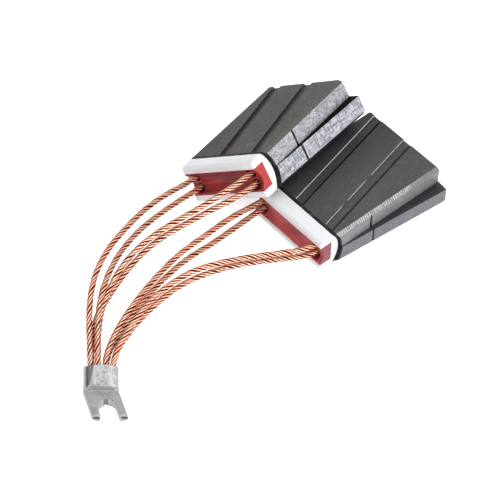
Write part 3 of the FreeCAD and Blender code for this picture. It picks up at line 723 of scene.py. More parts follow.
class Finishes:
    """The finishes of the whole set, made once."""

    def __init__(self) -> None:
        """Make every material."""
        self.carbon: dict[tuple[str, Level], dict[Face, Material]] = {}
        self.leaning_carbon()
        self.flat_carbon()
        self.plastic = MouldedPlastic().make()
        # Painted light in the tones: A's trough is painted shade under lit coral ends; B's trough a painted
        # sheen, its ends shaded.
        self.rubber = {
            "a": MouldedRubber("red_strip_rubber_a", tone(190, 68, 70), tone(160, 30, 28),
                               tone(108, 14, 14)).make(),
            "b": MouldedRubber("red_strip_rubber_b", tone(140, 70, 76), tone(212, 98, 94),
                               tone(156, 56, 58)).make()}
        self.cushion = DarkRubber().make()
        self.copper = CopperStrand().make()
        self.tamped = TampedCopper().make()
        self.tin = TinnedMetal().make()

    def allot(self, letter: str, chamfers: dict[Level, Material],
              narrow: dict[Level, Material], broad: Material,
              joint: Material, wall: Material, corner: Material) -> None:
        """Give each face of a brush's two wafers its finish.

        Args:
            letter: The brush's letter.
            chamfers: The broken edge's finish on each wafer.
            narrow: The narrow faces' finish on each wafer.
            broad: The finish of the broad face, the grooves' floors and the ends.
            joint: The finish between the two wafers, darkened by painted shade.
            wall: The finish of the grooves' near walls, whose tones are painted light.
            corner: The finish of the grooves' far corners and the low-side chamfer, a painted shadow.
        """
        for level in Level:
            self.carbon[letter, level] = {
                Face.BROAD: broad, Face.GROOVE: broad, Face.END: broad, Face.NARROW: narrow[level],
                Face.CHAMFER: chamfers[level], Face.JOINT: joint, Face.LIT_WALL: wall,
                Face.DARK_CORNER: corner}

    def leaning_carbon(self) -> None:
        """Make brush A's carbon: warm, with painted shade along its lower edges and between its wafers."""
        line = tone(14, 13, 14)
        chamfers = {
            Level.UPPER: FiledChamfer("filed_chamfer_a", tone(78, 73, 70), tone(116, 111, 107), 0.3,
                                      tone(72, 67, 64)).make(),
            # The lower wafer's chamfer runs along the brush's lower edge: painted shade makes it far darker
            # than the upper one.
            Level.LOWER: FiledChamfer("shadowed_chamfer_a", tone(24, 23, 23), tone(40, 38, 37), 0.2,
                                      tone(22, 21, 21)).make()}
        narrow = {
            Level.UPPER: SawnCarbon("sawn_carbon_a_upper", tone(180, 181, 186), tone(222, 223, 228),
                                    tone(104, 106, 113), line, 24.0, 0.7, 1250.0).make(),
            Level.LOWER: SawnCarbon("sawn_carbon_a_lower", tone(188, 190, 197), tone(230, 232, 238),
                                    tone(108, 110, 122), line, 0.0, 0.85, 900.0).make()}
        # Painted shade: the broad face darkens towards its lower edge, where brush A leans on brush B.
        broad = PressedCarbon("pressed_carbon_a", tone(69, 63, 60), tone(92, 85, 80), tone(48, 44, 41),
                              tone(90, 83, 78), weave=1.0, shadow_share=0.4, shadow_tone=tone(30, 26, 23), shine=0.2)
        # Near black: painted shade in the gap between the two wafers.
        joint = PressedCarbon("joint_shadow_carbon_a", tone(9, 8, 8), tone(14, 13, 13), tone(6, 6, 6),
                              tone(20, 19, 19), weave=0.4, shine=0.05, roughness=0.7)
        # Painted shade: the near walls darken below their top edge, darker than the face.
        wall = GrooveWall("shaded_groove_wall_a", tone(60, 54, 50), tone(38, 34, 32))
        # Painted shadow beside the grooves' far walls and on the low-side chamfer.
        corner = PressedCarbon("groove_corner_shadow_a", tone(46, 41, 38), tone(60, 54, 50), tone(34, 30, 28),
                               tone(60, 54, 50), weave=0.3, shine=0.1)
        self.allot("a", chamfers, narrow, broad.make(), joint.make(), wall.make(), corner.make())

    def flat_carbon(self) -> None:
        """Make brush B's carbon: cooler, a bright filed edge, painted highlights on groove walls and painted
        shadows.
        """
        line = tone(14, 13, 14)
        chamfer = FiledChamfer("filed_chamfer_b", tone(112, 111, 115), tone(192, 192, 195)).make()
        narrow = {
            Level.UPPER: SawnCarbon("sawn_carbon_b_upper", tone(122, 122, 127), tone(148, 148, 153),
                                    tone(96, 95, 100), line, 0.0, 0.35, 800.0).make(),
            Level.LOWER: SawnCarbon("sawn_carbon_b_lower", tone(104, 102, 110), tone(128, 125, 135),
                                    tone(76, 74, 84), line, 0.0, 0.5, 1000.0).make()}
        # Painted shadow of brush A: the broad face darkens towards low X, under the leaning brush.
        broad = PressedCarbon("pressed_carbon_b", tone(81, 79, 82), tone(95, 94, 97), tone(67, 66, 69),
                              tone(100, 99, 102), weave=0.6, shadow_share=0.7)
        # Painted shade in the V-gap between the fanned wafers: darker than the broad face.
        joint = PressedCarbon("joint_shadow_carbon_b", tone(46, 44, 48), tone(62, 60, 65), tone(30, 29, 32),
                              tone(84, 83, 88))
        # Painted highlight: a near-white line along the top of each near wall, partly a rubbed edge.
        wall = GrooveWall("lit_groove_wall_b", tone(186, 186, 188), tone(62, 61, 63))
        # Painted shadow: near black beside the grooves' far walls and on the low-side chamfer, strongest at
        # low X.
        corner = PressedCarbon("groove_corner_shadow_b", tone(58, 57, 59), tone(66, 65, 67), tone(46, 45, 47),
                               tone(30, 30, 30), weave=0.3, shadow_share=1.0, shadow_tone=tone(4, 4, 4), shine=0.08,
                               roughness=0.6)
        self.allot("b", dict.fromkeys(Level, chamfer), narrow, broad.make(), joint.make(), wall.make(),
                   corner.make())


# Meshes


class Shaper:
    """Small steps that turn lists of points into finished Blender pieces."""

    CRISP_ANGLE = 32.0
    ROD_SIDES = 32

    @staticmethod
    def piece(name: str, points: Sequence, faces: Sequence, materials: Sequence[Material],
              indices: Optional[Sequence[int]] = None, smooth: bool = True) -> Thing:
        """Make an object from points and faces.

        Args:
            name: The piece's name.
            points: Its points in metres.
            faces: Its faces, as tuples of point numbers.
            materials: Its materials.
            indices: Each face's material number.
            smooth: Whether its faces are shaded smooth.

        Returns:
            The object, in the scene.
        """
        mesh = bpy.data.meshes.new(name)
        mesh.from_pydata([tuple(p) for p in points], [], [tuple(f) for f in faces])
        for material in materials:
            mesh.materials.append(material)
        if indices is not None:
            mesh.polygons.foreach_set("material_index", list(indices))
        mesh.polygons.foreach_set("use_smooth", [smooth] * len(mesh.polygons))
        mesh.validate()
        thing = bpy.data.objects.new(name, mesh)
        bpy.context.scene.collection.objects.link(thing)
        return thing

    @staticmethod
    def layer(thing: Thing, name: str, values: Sequence[float]) -> None:
        """Write a number on each of a piece's points.

        Args:
            thing: The piece.
            name: The layer's name.
            values: One number for each point.
        """
        attribute = thing.data.attributes.new(name, "FLOAT", "POINT")
        attribute.data.foreach_set("value", list(values))

    @staticmethod
    def modifier(thing: Thing, kind: str, **settings: object) -> None:
        """Add a modifier and apply it to the mesh.

        Args:
            thing: The piece.
            kind: The modifier's type.
            settings: Its settings.
        """
        step = thing.modifiers.new(kind.lower(), kind)
        for name, value in settings.items():
            setattr(step, name, value)
        graph = bpy.context.evaluated_depsgraph_get()
        made = bpy.data.meshes.new_from_object(thing.evaluated_get(graph), preserve_all_data_layers=True,
                                               depsgraph=graph)
        thing.modifiers.clear()
        old = thing.data
        thing.data = made
        made.name = thing.name
        bpy.data.meshes.remove(old)

    @staticmethod
    def cut(thing: Thing, cutters: Sequence[Thing]) -> None:
        """Take the cutters' shapes out of a piece, and remove the cutters.

        Args:
            thing: The piece.
            cutters: The shapes to take out.
        """
        for cutter in cutters:
            cutter.matrix_world = thing.matrix_world @ cutter.matrix_world
            bpy.context.view_layer.update()
            Shaper.modifier(thing, "BOOLEAN", object=cutter, operation="DIFFERENCE", solver="EXACT")
            bpy.data.objects.remove(cutter)

    @staticmethod
    def crisp(thing: Thing) -> None:
        """Shade a piece smooth, with sharp edges where its faces turn by more than the crisp angle.

        Args:
            thing: The piece.
        """
        form = bmesh.new()
        form.from_mesh(thing.data)
        bmesh.ops.recalc_face_normals(form, faces=form.faces)
        limit = math.radians(Shaper.CRISP_ANGLE)
        for edge in form.edges:
            edge.smooth = edge.calc_face_angle(0.0) < limit
        for side in form.faces:
            side.smooth = True
        form.to_mesh(thing.data)
        form.free()

    @staticmethod
    def loft(loops: Sequence[Sequence[Point]]) -> tuple[list[Point], list[tuple]]:
        """Join closed loops of equal length into a skin with closed ends.

        Args:
            loops: The loops, one after the other.

        Returns:
            Points and faces.
        """
        count = len(loops[0])
        points = [tuple(p) for loop in loops for p in loop]
        faces: list[tuple] = []
        for row in range(len(loops) - 1):
            for step in range(count):
                here, beyond = row * count + step, row * count + (step + 1) % count
                faces.append((here, beyond, beyond + count, here + count))
        last = (len(loops) - 1) * count
        faces += [tuple(reversed(range(count))), tuple(range(last, last + count))]
        return points, faces

    @staticmethod
    def rod(name: str, start: Point, end: Point, radius: float) -> Thing:
        """Make a round cutter between two points.

        Args:
            name: Its name.
            start: The middle of one end.
            end: The middle of the other end.
            radius: Its radius.

        Returns:
            The cutter.
        """
        axis = (Vector(end) - Vector(start)).normalized()
        side = axis.orthogonal().normalized()
        other = axis.cross(side)
        turns = [2 * math.pi * k / Shaper.ROD_SIDES for k in range(Shaper.ROD_SIDES)]
        loops = [[tuple(middle + radius * (math.cos(turn) * side + math.sin(turn) * other)) for turn in turns]
                 for middle in (Vector(start), Vector(end))]
        points, faces = Shaper.loft(loops)
        return Shaper.piece(name, points, faces, [], smooth=False)


# Camera and light


@dataclass
class PhotoCamera:
    """The camera, standing where the photograph was taken."""

    place: Point = (0.46259, -0.45145, 0.74337)
    right: Point = (0.6575, 0.7532, 0.0198)
    down: Point = (0.5898, -0.4981, -0.6357)
    forward: Point = (-0.4689, 0.4296, -0.7717)
    lens: float = 180.0
    film: float = 36.0
    nearest: float = 0.05
    farthest: float = 20.0

    def build(self) -> None:
        """Make the camera and give it to the scene."""
        data = bpy.data.cameras.new("photo_camera")
        data.lens = self.lens
        data.sensor_width = self.film
        data.sensor_height = self.film
        data.clip_start = self.nearest
        data.clip_end = self.farthest
        camera = bpy.data.objects.new("photo_camera", data)
        axes = Matrix((self.right, [-v for v in self.down], [-v for v in self.forward])).transposed()
        camera.matrix_world = Matrix.Translation(self.place) @ axes.to_4x4()
        bpy.context.scene.collection.objects.link(camera)
        bpy.context.scene.camera = camera
        LOG.info("camera at %s", self.place)


@dataclass
class Studio:
    """A white table under soft lamps, on a white background."""

    table_half: float = 3.0
    table_squares: int = 8
    table_drop: float = 0.02 * MM
    table_glow: float = 0.72
    paper_scale: float = 900.0
    world_light: float = 0.56
    key_power: float = 8.6
    key_place: Point = (1.45, -0.05, 0.5)
    key_size: float = 0.4
    top_power: float = 7.4
    top_place: Point = (0.4, 0.1, 1.35)
    top_size: float = 0.9
    aim: Point = (0.0, -0.04, 0.01)

    def table(self) -> None:
        """Make the white table top, which keeps the set's soft shadow."""
        count = self.table_squares
        steps = [-self.table_half + 2 * self.table_half * k / count for k in range(count + 1)]
        points = [(x, y, -self.table_drop) for y in steps for x in steps]
        faces = []
        for row in range(count):
            for column in range(count):
                here = row * (count + 1) + column
                faces.append((here, here + 1, here + count + 2, here + count + 1))
        mix = Recipe("white_table")
        paper = mix.cloud(self.paper_scale, 3, 0.6)
        colour = mix.cover(tone(250, 250, 250), tone(254, 254, 254), paper, 0.3, 0.7)
        mix.finish(colour, 0.9, mix.relief(paper, 0.00002, 0.2), specular_ior_level=0.0)
        rays = mix.tree.nodes.new("ShaderNodeLightPath")
        glow = mix.tree.nodes.new("ShaderNodeEmission")
        add = mix.tree.nodes.new("ShaderNodeAddShader")
        seen = mix.sum_of("MAXIMUM", rays.outputs["Is Camera Ray"], rays.outputs["Is Glossy Ray"])
        seen = mix.sum_of("MAXIMUM", seen, rays.outputs["Is Transmission Ray"])
        mix.join(mix.times(seen, self.table_glow), glow.inputs["Strength"])
        mix.join(mix.shader.outputs["BSDF"], add.inputs[0])
        mix.join(glow.outputs["Emission"], add.inputs[1])
        mix.join(add.outputs["Shader"], mix.output.inputs["Surface"])
        table = Shaper.piece("white_table", points, faces, [mix.material])

    def world(self) -> None:
        """Make a world that looks white and lights the set softly."""
        world = bpy.data.worlds.new("white_room")
        bpy.context.scene.world = world
        world.use_nodes = True
        tree = world.node_tree
        tree.nodes.clear()
        rays = tree.nodes.new("ShaderNodeLightPath")
        seen: Socket = rays.outputs["Is Camera Ray"]
        for kind in ("Is Glossy Ray", "Is Transmission Ray"):
            more = tree.nodes.new("ShaderNodeMath")
            more.operation = "MAXIMUM"
            tree.links.new(seen, more.inputs[0])
            tree.links.new(rays.outputs[kind], more.inputs[1])
            seen = more.outputs[0]
        strength = tree.nodes.new("ShaderNodeMapRange")
        strength.inputs["To Min"].default_value = self.world_light
        strength.inputs["To Max"].default_value = 1.0
        tree.links.new(seen, strength.inputs["Value"])
        sky = tree.nodes.new("ShaderNodeBackground")
        sky.inputs["Color"].default_value = (1.0, 1.0, 1.0, 1.0)
        tree.links.new(strength.outputs["Result"], sky.inputs["Strength"])
        output = tree.nodes.new("ShaderNodeOutputWorld")
        tree.links.new(sky.outputs["Background"], output.inputs["Surface"])

    def lamp(self, name: str, place: Point, power: float, size: float) -> None:
        """Hang one soft square lamp that shines at the middle of the set.

        Args:
            name: The lamp's name.
            place: Where it hangs.
            power: Its power in watts.
            size: Its side.
        """
        data = bpy.data.lights.new(name, "AREA")
        data.energy = power
        data.size = size
        lamp = bpy.data.objects.new(name, data)
        look = (Vector(self.aim) - Vector(place)).to_track_quat("-Z", "Y")
        lamp.matrix_world = Matrix.Translation(place) @ look.to_matrix().to_4x4()
        bpy.context.scene.collection.objects.link(lamp)

    def build(self) -> None:
        """Set up table, world and lamps."""
        bpy.context.scene.view_settings.view_transform = "Standard"
        self.table()
        self.world()
        self.lamp("key_lamp", self.key_place, self.key_power, self.key_size)
        self.lamp("top_lamp", self.top_place, self.top_power, self.top_size)
        LOG.info("table, world and two lamps")


# Brushes


ColumnPoint = tuple[float, float, Face, float]


@dataclass
class CarbonWafer:
    """One carbon wafer: hollow head, broken long edges, two slanted grooves and a wear line.

    Its frame has X across its width, Y from the head to the rubbing end and Z up, with its broad face at 0.
    """

    width: float = 40.0
    length: float = 53.2
    thickness: float = 8.0
    seat_radius: float = 14.0
    chamfer: float = 1.3
    end_bevel: float = 0.5
    groove_width: float = 4.2
    groove_depth: float = 1.0
    groove_pitch: float = 16.9
    groove_slant: float = 13.2
    line_at: float = 17.3
    line_width: float = 0.5
    line_depth: float = 0.3
    socket_diameter: float = 4.0
    socket_depth: float = 12.0
    socket_from_edge: float = 5.0
    socket_offset: float = 2.5
    socket_start: float = 3.0
    softening: float = 0.12
    wall_lean: float = 0.04
    # Width of the painted shadow strip along each groove's far wall.
    shadow_strip: float = 1.15
    rubbed_share: float = 0.06
    rubbed_wear: float = 0.75
    edge_strip: float = 0.35
    line_margin: float = 0.5
    line_lip: float = 0.02
    land_points: int = 5
    slice_step: float = 1.2
    head_fade: float = 8.0
    edge_bevel: float = 0.16
    bevel_angle: float = 55.0
    row_shares: tuple[float, ...] = (0.0, 0.1, 0.3, 0.5, 0.7, 0.9, 1.0)

    def head(self, z: float) -> float:
        """Give where the hollow head starts at a depth.

        Args:
            z: The depth, 0 to minus the thickness.

        Returns:
            The distance along Y.
        """
        middle = -math.sqrt(self.seat_radius ** 2 - self.thickness ** 2)
        return middle + math.sqrt(self.seat_radius ** 2 - (z + self.thickness) ** 2)

    def columns(self, y: float) -> list[ColumnPoint]:
        """Give the line across the broad face at a distance from the head.

        Args:
            y: The distance along the wafer.

        Returns:
            For each point its x, its height, the kind of face that follows it and its wear.
        """
        half, soft, lean, deep = self.width / 2, self.softening, self.wall_lean, self.groove_depth
        line: list[ColumnPoint] = [(-half, -self.chamfer, Face.DARK_CORNER, 1.0)]
        land_from = -half + self.chamfer
        slant = math.tan(math.radians(self.groove_slant))
        for side in (-1, 1):
            middle = side * self.groove_pitch / 2 + (self.length / 2 - y) * slant
            left, right = middle - self.groove_width / 2, middle + self.groove_width / 2
            line += self.land(land_from, left - soft, Face.LIT_WALL, self.rubbed_wear)
            line += [(left, -soft, Face.LIT_WALL, 0.0), (left + lean, -deep + soft, Face.GROOVE, 0.0)]
            floor = (left + soft + lean, left + 0.25 * self.groove_width, left + 0.5 * self.groove_width)
            line += [(x, -deep, Face.GROOVE, 0.0) for x in floor]
            # The strip of floor before the far wall takes the dark-corner finish, a painted shadow.
            corner = ((right - self.shadow_strip, -deep), (right - soft - lean, -deep),
                      (right - lean, -deep + soft), (right, -soft))
            line += [(x, z, Face.DARK_CORNER, 0.0) for x, z in corner]
            land_from = right + soft
        line += self.land(land_from, half - self.chamfer, Face.CHAMFER, 1.0)
        line.append((half, -self.chamfer, Face.NARROW, 1.0))
        return line

    def land(self, left: float, right: float, after: Face, last_wear: float) -> list[ColumnPoint]:
        """Give the points across one land between grooves.

        Args:
            left: Where it starts.
            right: Where it ends.
            after: The kind of face that follows it.
            last_wear: The wear at its end.

        Returns:
            Points in the form that columns gives.
        """
        steps = self.land_points + 1
        shares = [0.0, self.rubbed_share, *(k / steps for k in range(1, steps)), 1 - self.rubbed_share]
        points = [(left + share * (right - left), 0.0, Face.BROAD, 0.0 if share else self.rubbed_wear)
                  for share in shares]
        return [*points, (right, 0.0, after, last_wear)]

    def slices(self) -> list[tuple[float, float, float]]:
        """Give the slices along the wafer: distance, how far the narrow faces are cut in, and wear."""
        low, high = self.line_at - self.line_width / 2, self.line_at + self.line_width / 2
        bevel = self.length - self.end_bevel
        made = [(0.0, 0.0, 1.0), (self.edge_strip, 0.0, 0.2)]
        y = self.slice_step
        while y < bevel - 0.5 * self.slice_step:
            if not low - self.line_margin < y < high + self.line_margin:
                made.append((y, 0.0, 0.0))
            y += self.slice_step
        made += [(low, self.line_depth, 0.0), (high, self.line_depth, 0.0)]
        made += [(y, 0.0, 0.3) for y in (low - self.line_lip, high + self.line_lip, bevel - self.edge_strip)]
        return sorted([*made, (bevel, 0.0, 1.0), (self.length, 0.0, 1.0)])

    def build(self, name: str, materials: dict[Face, Material], place: Matrix) -> Thing:
        """Build and dress the wafer.

        Args:
            name: The piece's name.
            materials: The finish of each kind of face.
            place: Where the wafer's frame lies in the row's frame.

        Returns:
            The piece.
        """
        cuts = self.slices()
        points: list[Point] = []
        wear: list[float] = []
        for y, inset, end_wear in cuts:
            line = self.columns(y)
            for column, (x, top, _, edge_wear) in enumerate(line):
                outer = column in (0, len(line) - 1)
                if y == self.length:
                    top = min(top, -self.end_bevel)
                side_x = x - math.copysign(inset, x) if outer else x
                for share in self.row_shares:
                    z = top + share * (-self.thickness - top)
                    start = self.head(z) * max(0.0, 1 - y / self.head_fade)
                    points.append((side_x * MM, (y + start) * MM, z * MM))
                inner_wear = [0.0] * (len(self.row_shares) - 2)
                wear += [max(end_wear, edge_wear), *inner_wear, 0.4 if outer else 0.0]
        faces, indices = self.skin(len(cuts), len(self.columns(0.0)), len(self.row_shares))
        piece = Shaper.piece(name, points, faces, [materials[kind] for kind in Face], indices)
        Shaper.layer(piece, "wear", wear)
        self.drill(piece)
        Shaper.modifier(piece, "BEVEL", width=self.edge_bevel * MM, segments=2, limit_method="ANGLE",
                        angle_limit=math.radians(self.bevel_angle), harden_normals=False)
        Shaper.crisp(piece)
        piece.matrix_world = place
        return piece

    def skin(self, slices: int, columns: int, rows: int) -> tuple[list[tuple], list[int]]:
        """Give the faces that wrap the block of points.

        Args:
            slices: How many slices there are.
            columns: How many columns each slice has.
            rows: How many rows each column has.

        Returns:
            The faces and each one's material number.
        """
        faces: list[tuple] = []
        kinds: list[int] = []

        def add(kind: Face, *corners: tuple[int, int, int]) -> None:
            """Add a face from its corners, each given by its slice, column and row."""
            faces.append(tuple((cut * columns + column) * rows + row for cut, column, row in corners))
            kinds.append(kind.value)

        line = self.columns(0.0)
        far, right, under = slices - 1, columns - 1, rows - 1
        for cut in range(far):
            on = cut + 1
            for column in range(right):
                beside = column + 1
                kind = Face.END if on == far else line[column][2]
                add(kind, (cut, column, 0), (cut, beside, 0), (on, beside, 0), (on, column, 0))
                add(Face.JOINT, (cut, column, under), (on, column, under), (on, beside, under),
                    (cut, beside, under))
            for row in range(under):
                add(Face.NARROW, (cut, 0, row), (on, 0, row), (on, 0, row + 1), (cut, 0, row + 1))
                add(Face.NARROW, (cut, right, row), (cut, right, row + 1), (on, right, row + 1),
                    (on, right, row))
        for column in range(right):
            beside = column + 1
            for row in range(under):
                add(Face.END, (0, column, row), (0, column, row + 1), (0, beside, row + 1), (0, beside, row))
                add(Face.END, (far, column, row), (far, beside, row), (far, beside, row + 1),
                    (far, column, row + 1))
        return faces, kinds

    def drill(self, piece: Thing) -> None:
        """Drill the two sockets for the flexibles.

        Args:
            piece: The wafer, still at the origin.
        """
        across = self.width / 2 - self.socket_from_edge
        down = (-self.thickness + self.socket_offset) * MM
        start, end, radius = -self.socket_start * MM, self.socket_depth * MM, self.socket_diameter / 2 * MM
        Shaper.cut(piece, [Shaper.rod(f"socket_cutter_{side}", (side * across * MM, start, down),
                                      (side * across * MM, end, down), radius) for side in (-1, 1)])


@dataclass
class PressurePad:
    """A brush's pressure pad: dark cushion, white channel and red rubber strip, with four holes."""

    length: float = 37.5
    thickness: float = 8.0
    seat_radius: float = 14.0
    cushion: float = 1.2
    reach: float = 7.8
    floor: float = 2.2
    flange: float = 3.0
    lip: float = 0.9
    web: float = 3.5
    setback: float = 0.2
    trough_radius: float = 5.3
    channel_hole: float = 4.2
    strip_hole: float = 4.0
    hole_across: float = 15.0
    hole_offset: float = 2.5
    hole_from: float = -14.0
    hole_to: float = 8.0
    arc_steps: int = 24
    trough_steps: int = 20
    inner_slices: int = 26
    end_strips: Span = (0.4, 1.2)
    worn_strip: float = 0.5
    soft_edge: float = 0.12
    channel_edge: float = 0.45
    bevel_angle: float = 40.0

    def arc(self, radius: float) -> list[Span]:
        """Give points on an arc about the seat's middle line, bulging towards the carbon.

        Args:
            radius: The arc's radius.

        Returns:
            Pairs of y and z, from the pad's lower face to its upper one.
        """
        middle = -math.sqrt(self.seat_radius ** 2 - self.thickness ** 2)
        first = math.asin(-self.thickness / radius)
        last = math.asin(self.thickness / radius)
        made = []
        for step in range(self.arc_steps + 1):
            angle = first + (last - first) * step / self.arc_steps
            made.append((middle + radius * math.cos(angle), -self.thickness + radius * math.sin(angle)))
        return made

    def cushion_line(self) -> list[Span]:
        """Give the cushion's outline."""
        return self.arc(self.seat_radius) + self.arc(self.seat_radius - self.cushion)[::-1]

    def channel_line(self) -> list[Span]:
        """Give the white channel's outline."""
        low, tip, floor = -2 * self.thickness, -self.reach, -self.floor
        return self.arc(self.seat_radius - self.cushion) + [
            (tip / 2, 0.0), (tip + self.lip, 0.0), (tip, -self.lip), (tip, -self.flange),
            (floor, -self.flange), (floor, low / 2), (floor, low + self.flange), (tip, low + self.flange),
            (tip, low + self.lip), (tip + self.lip, low), (tip / 2, low)]

    def strip_line(self) -> list[Span]:
        """Give the red strip's outline, with its round trough."""
        low, floor = -2 * self.thickness, -self.floor
        lip = -self.reach + self.setback
        middle = floor - self.web - self.trough_radius
        half = math.sqrt(self.trough_radius ** 2 - (lip - middle) ** 2)
        swing = math.atan2(half, lip - middle)
        trough = []
        for step in range(self.trough_steps + 1):
            angle = swing - 2 * swing * step / self.trough_steps
            trough.append((middle + self.trough_radius * math.cos(angle),
                           -self.thickness + self.trough_radius * math.sin(angle)))
        return [(floor, low + self.flange), (floor, -self.flange), (lip, -self.flange)] + trough + [
            (lip, low + self.flange)]

    def strip_of(self, name: str, outline: list[Span], material: Material,
                 hole: float, edge: float, place: Matrix) -> Thing:
        """Draw an outline out along the pad, drill it and soften its edges.

        Args:
            name: The piece's name.
            outline: Its outline, as pairs of y and z.
            material: Its finish.
            hole: The diameter of its holes.
            edge: How far its edges are softened.
            place: Where the brush's frame lies in the row's frame.

        Returns:
            The piece.
        """
        half, inner = self.length / 2, self.inner_slices
        thin, wide = self.end_strips
        stations = [-half, -half + thin, -half + wide]
        stations += [-half + wide + 2 * (half - wide) * k / inner for k in range(1, inner)]
        stations += [half - wide, half - thin, half]
        points, faces = Shaper.loft([[(x * MM, y * MM, z * MM) for y, z in outline] for x in stations])
        piece = Shaper.piece(name, points, faces, [material])
        worn = half - self.worn_strip
        Shaper.layer(piece, "wear", [1.0 if abs(x) > worn else 0.15 for x in stations for _ in outline])
        Shaper.crisp(piece)
        cutters = []
        for side in (-1, 1):
            across = side * self.hole_across * MM
            for row in (-1, 1):
                height = (-self.thickness + row * self.hole_offset) * MM
                cutters.append(Shaper.rod(f"hole_cutter_{side}_{row}", (across, self.hole_from * MM, height),
                                          (across, self.hole_to * MM, height), hole / 2 * MM))
        Shaper.cut(piece, cutters)
        Shaper.modifier(piece, "BEVEL", width=edge * MM, segments=3, limit_method="ANGLE",
                        angle_limit=math.radians(self.bevel_angle), harden_normals=False)
        Shaper.crisp(piece)
        piece.matrix_world = place
        return piece

    def build(self, brush: str, finishes: Finishes, place: Matrix) -> None:
        """Build the pad's three pieces.

        Args:
            brush: The brush's letter.
            finishes: The set's finishes.
            place: Where the brush's frame lies.
        """
        wide, soft = self.channel_hole, self.soft_edge
        made = (
            ("cushion", "cushion_layer", self.cushion_line(), finishes.cushion, wide, soft),
            ("shell", "white_channel", self.channel_line(), finishes.plastic, wide, self.channel_edge),
            ("insert", "red_strip", self.strip_line(), finishes.rubber[brush], self.strip_hole, soft))
        for node, label, outline, material, hole, edge in made:
            piece = self.strip_of(f"brush_{brush}_{label}", outline, material, hole, edge, place)
            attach(piece, "root")
            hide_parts(f"brush_{brush}_{node}")
            LOG.info("%s: %d faces", piece.name, len(piece.data.polygons))


@dataclass
class SplitBrush:
    """A split brush: two wafers fanned about a corner, their plugs and the pressure pad."""

    letter: str
    middle: Point
    turn: Point
    fan_angle: float = 5.2
    fan_slide: float = 0.2
    wafer: CarbonWafer = field(default_factory=CarbonWafer)
    pad: PressurePad = field(default_factory=PressurePad)

    def place(self) -> Matrix:
        """Give the brush's frame in the row's frame."""
        yaw, pitch, roll = (math.radians(v) for v in self.turn)
        turned = Matrix.Rotation(yaw, 4, "Z") @ Matrix.Rotation(pitch, 4, "Y") @ Matrix.Rotation(roll, 4, "X")
        return Matrix.Translation(Vector(self.middle) * MM) @ turned

    def wafer_place(self, level: Level) -> Matrix:
        """Give one wafer's frame in the row's frame.

        Args:
            level: The upper or the lower wafer.

        Returns:
            Its matrix.
        """
        if level is Level.UPPER:
            return self.place()
        corner = Vector((self.wafer.width / 2 * MM, 0.0, 0.0))
        fan = (Matrix.Translation(Vector((self.fan_slide * MM, 0.0, 0.0))) @ Matrix.Translation(corner)
               @ Matrix.Rotation(math.radians(-self.fan_angle), 4, "Z") @ Matrix.Translation(-corner))
        under = Matrix.Translation(Vector((0.0, 0.0, -2 * self.wafer.thickness * MM)))
        return self.place() @ fan @ under @ Matrix.Rotation(math.pi, 4, "Y")

    def build(self, finishes: Finishes) -> None:
        """Build the wafers, the pad and the plugs' finish.

        Args:
            finishes: The set's finishes.
        """
        for level in Level:
            piece = self.wafer.build(f"brush_{self.letter}_{level.value}_carbon",
                                     finishes.carbon[self.letter, level], self.wafer_place(level))
            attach(piece, "root")
            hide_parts(f"brush_{self.letter}_wafer_{level.value}")
            LOG.info("%s: %d faces", piece.name, len(piece.data.polygons))
        self.pad.build(self.letter, finishes, self.place())
        for number in range(1, 5):
            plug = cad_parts[f"brush_{self.letter}_plug_{number}"]
            for holder in plug.material_slots:
                holder.material = finishes.tamped


# Terminal


def bump(value: np.ndarray, middle: float, spread: float) -> np.ndarray:
    """Give a smooth bump of height 1."""
    return np.exp(-((value - middle) / spread) ** 2)


def ramp(value: np.ndarray, low: float, high: float) -> np.ndarray:
    """Give a smooth step from 0 at low to 1 at high."""
    share = np.clip((value - low) / (high - low), 0.0, 1.0)
    return share * share * (3 - 2 * share)


def window(value: np.ndarray, rise: Span, fall: Span) -> np.ndarray:
    """Give 1 between a smooth rise and a smooth fall, and 0 outside."""
    return ramp(value, *rise) * (1 - ramp(value, *fall))


@dataclass(frozen=True)
class Welt:
    """A line across the barrel: its place back from the fold, its spread and height, and its two ends."""

    place: float
    spread: float
    height: float
    rise: Span
    fall: Span

    def form(self, out: np.ndarray, across: np.ndarray) -> np.ndarray:
        """Give the line's height at each point.

        Args:
            out: The points' distances back from the fold.
            across: Their places across.

        Returns:
            The heights.
        """
        return self.height * bump(out, self.place, self.spread) * window(across, self.rise, self.fall)


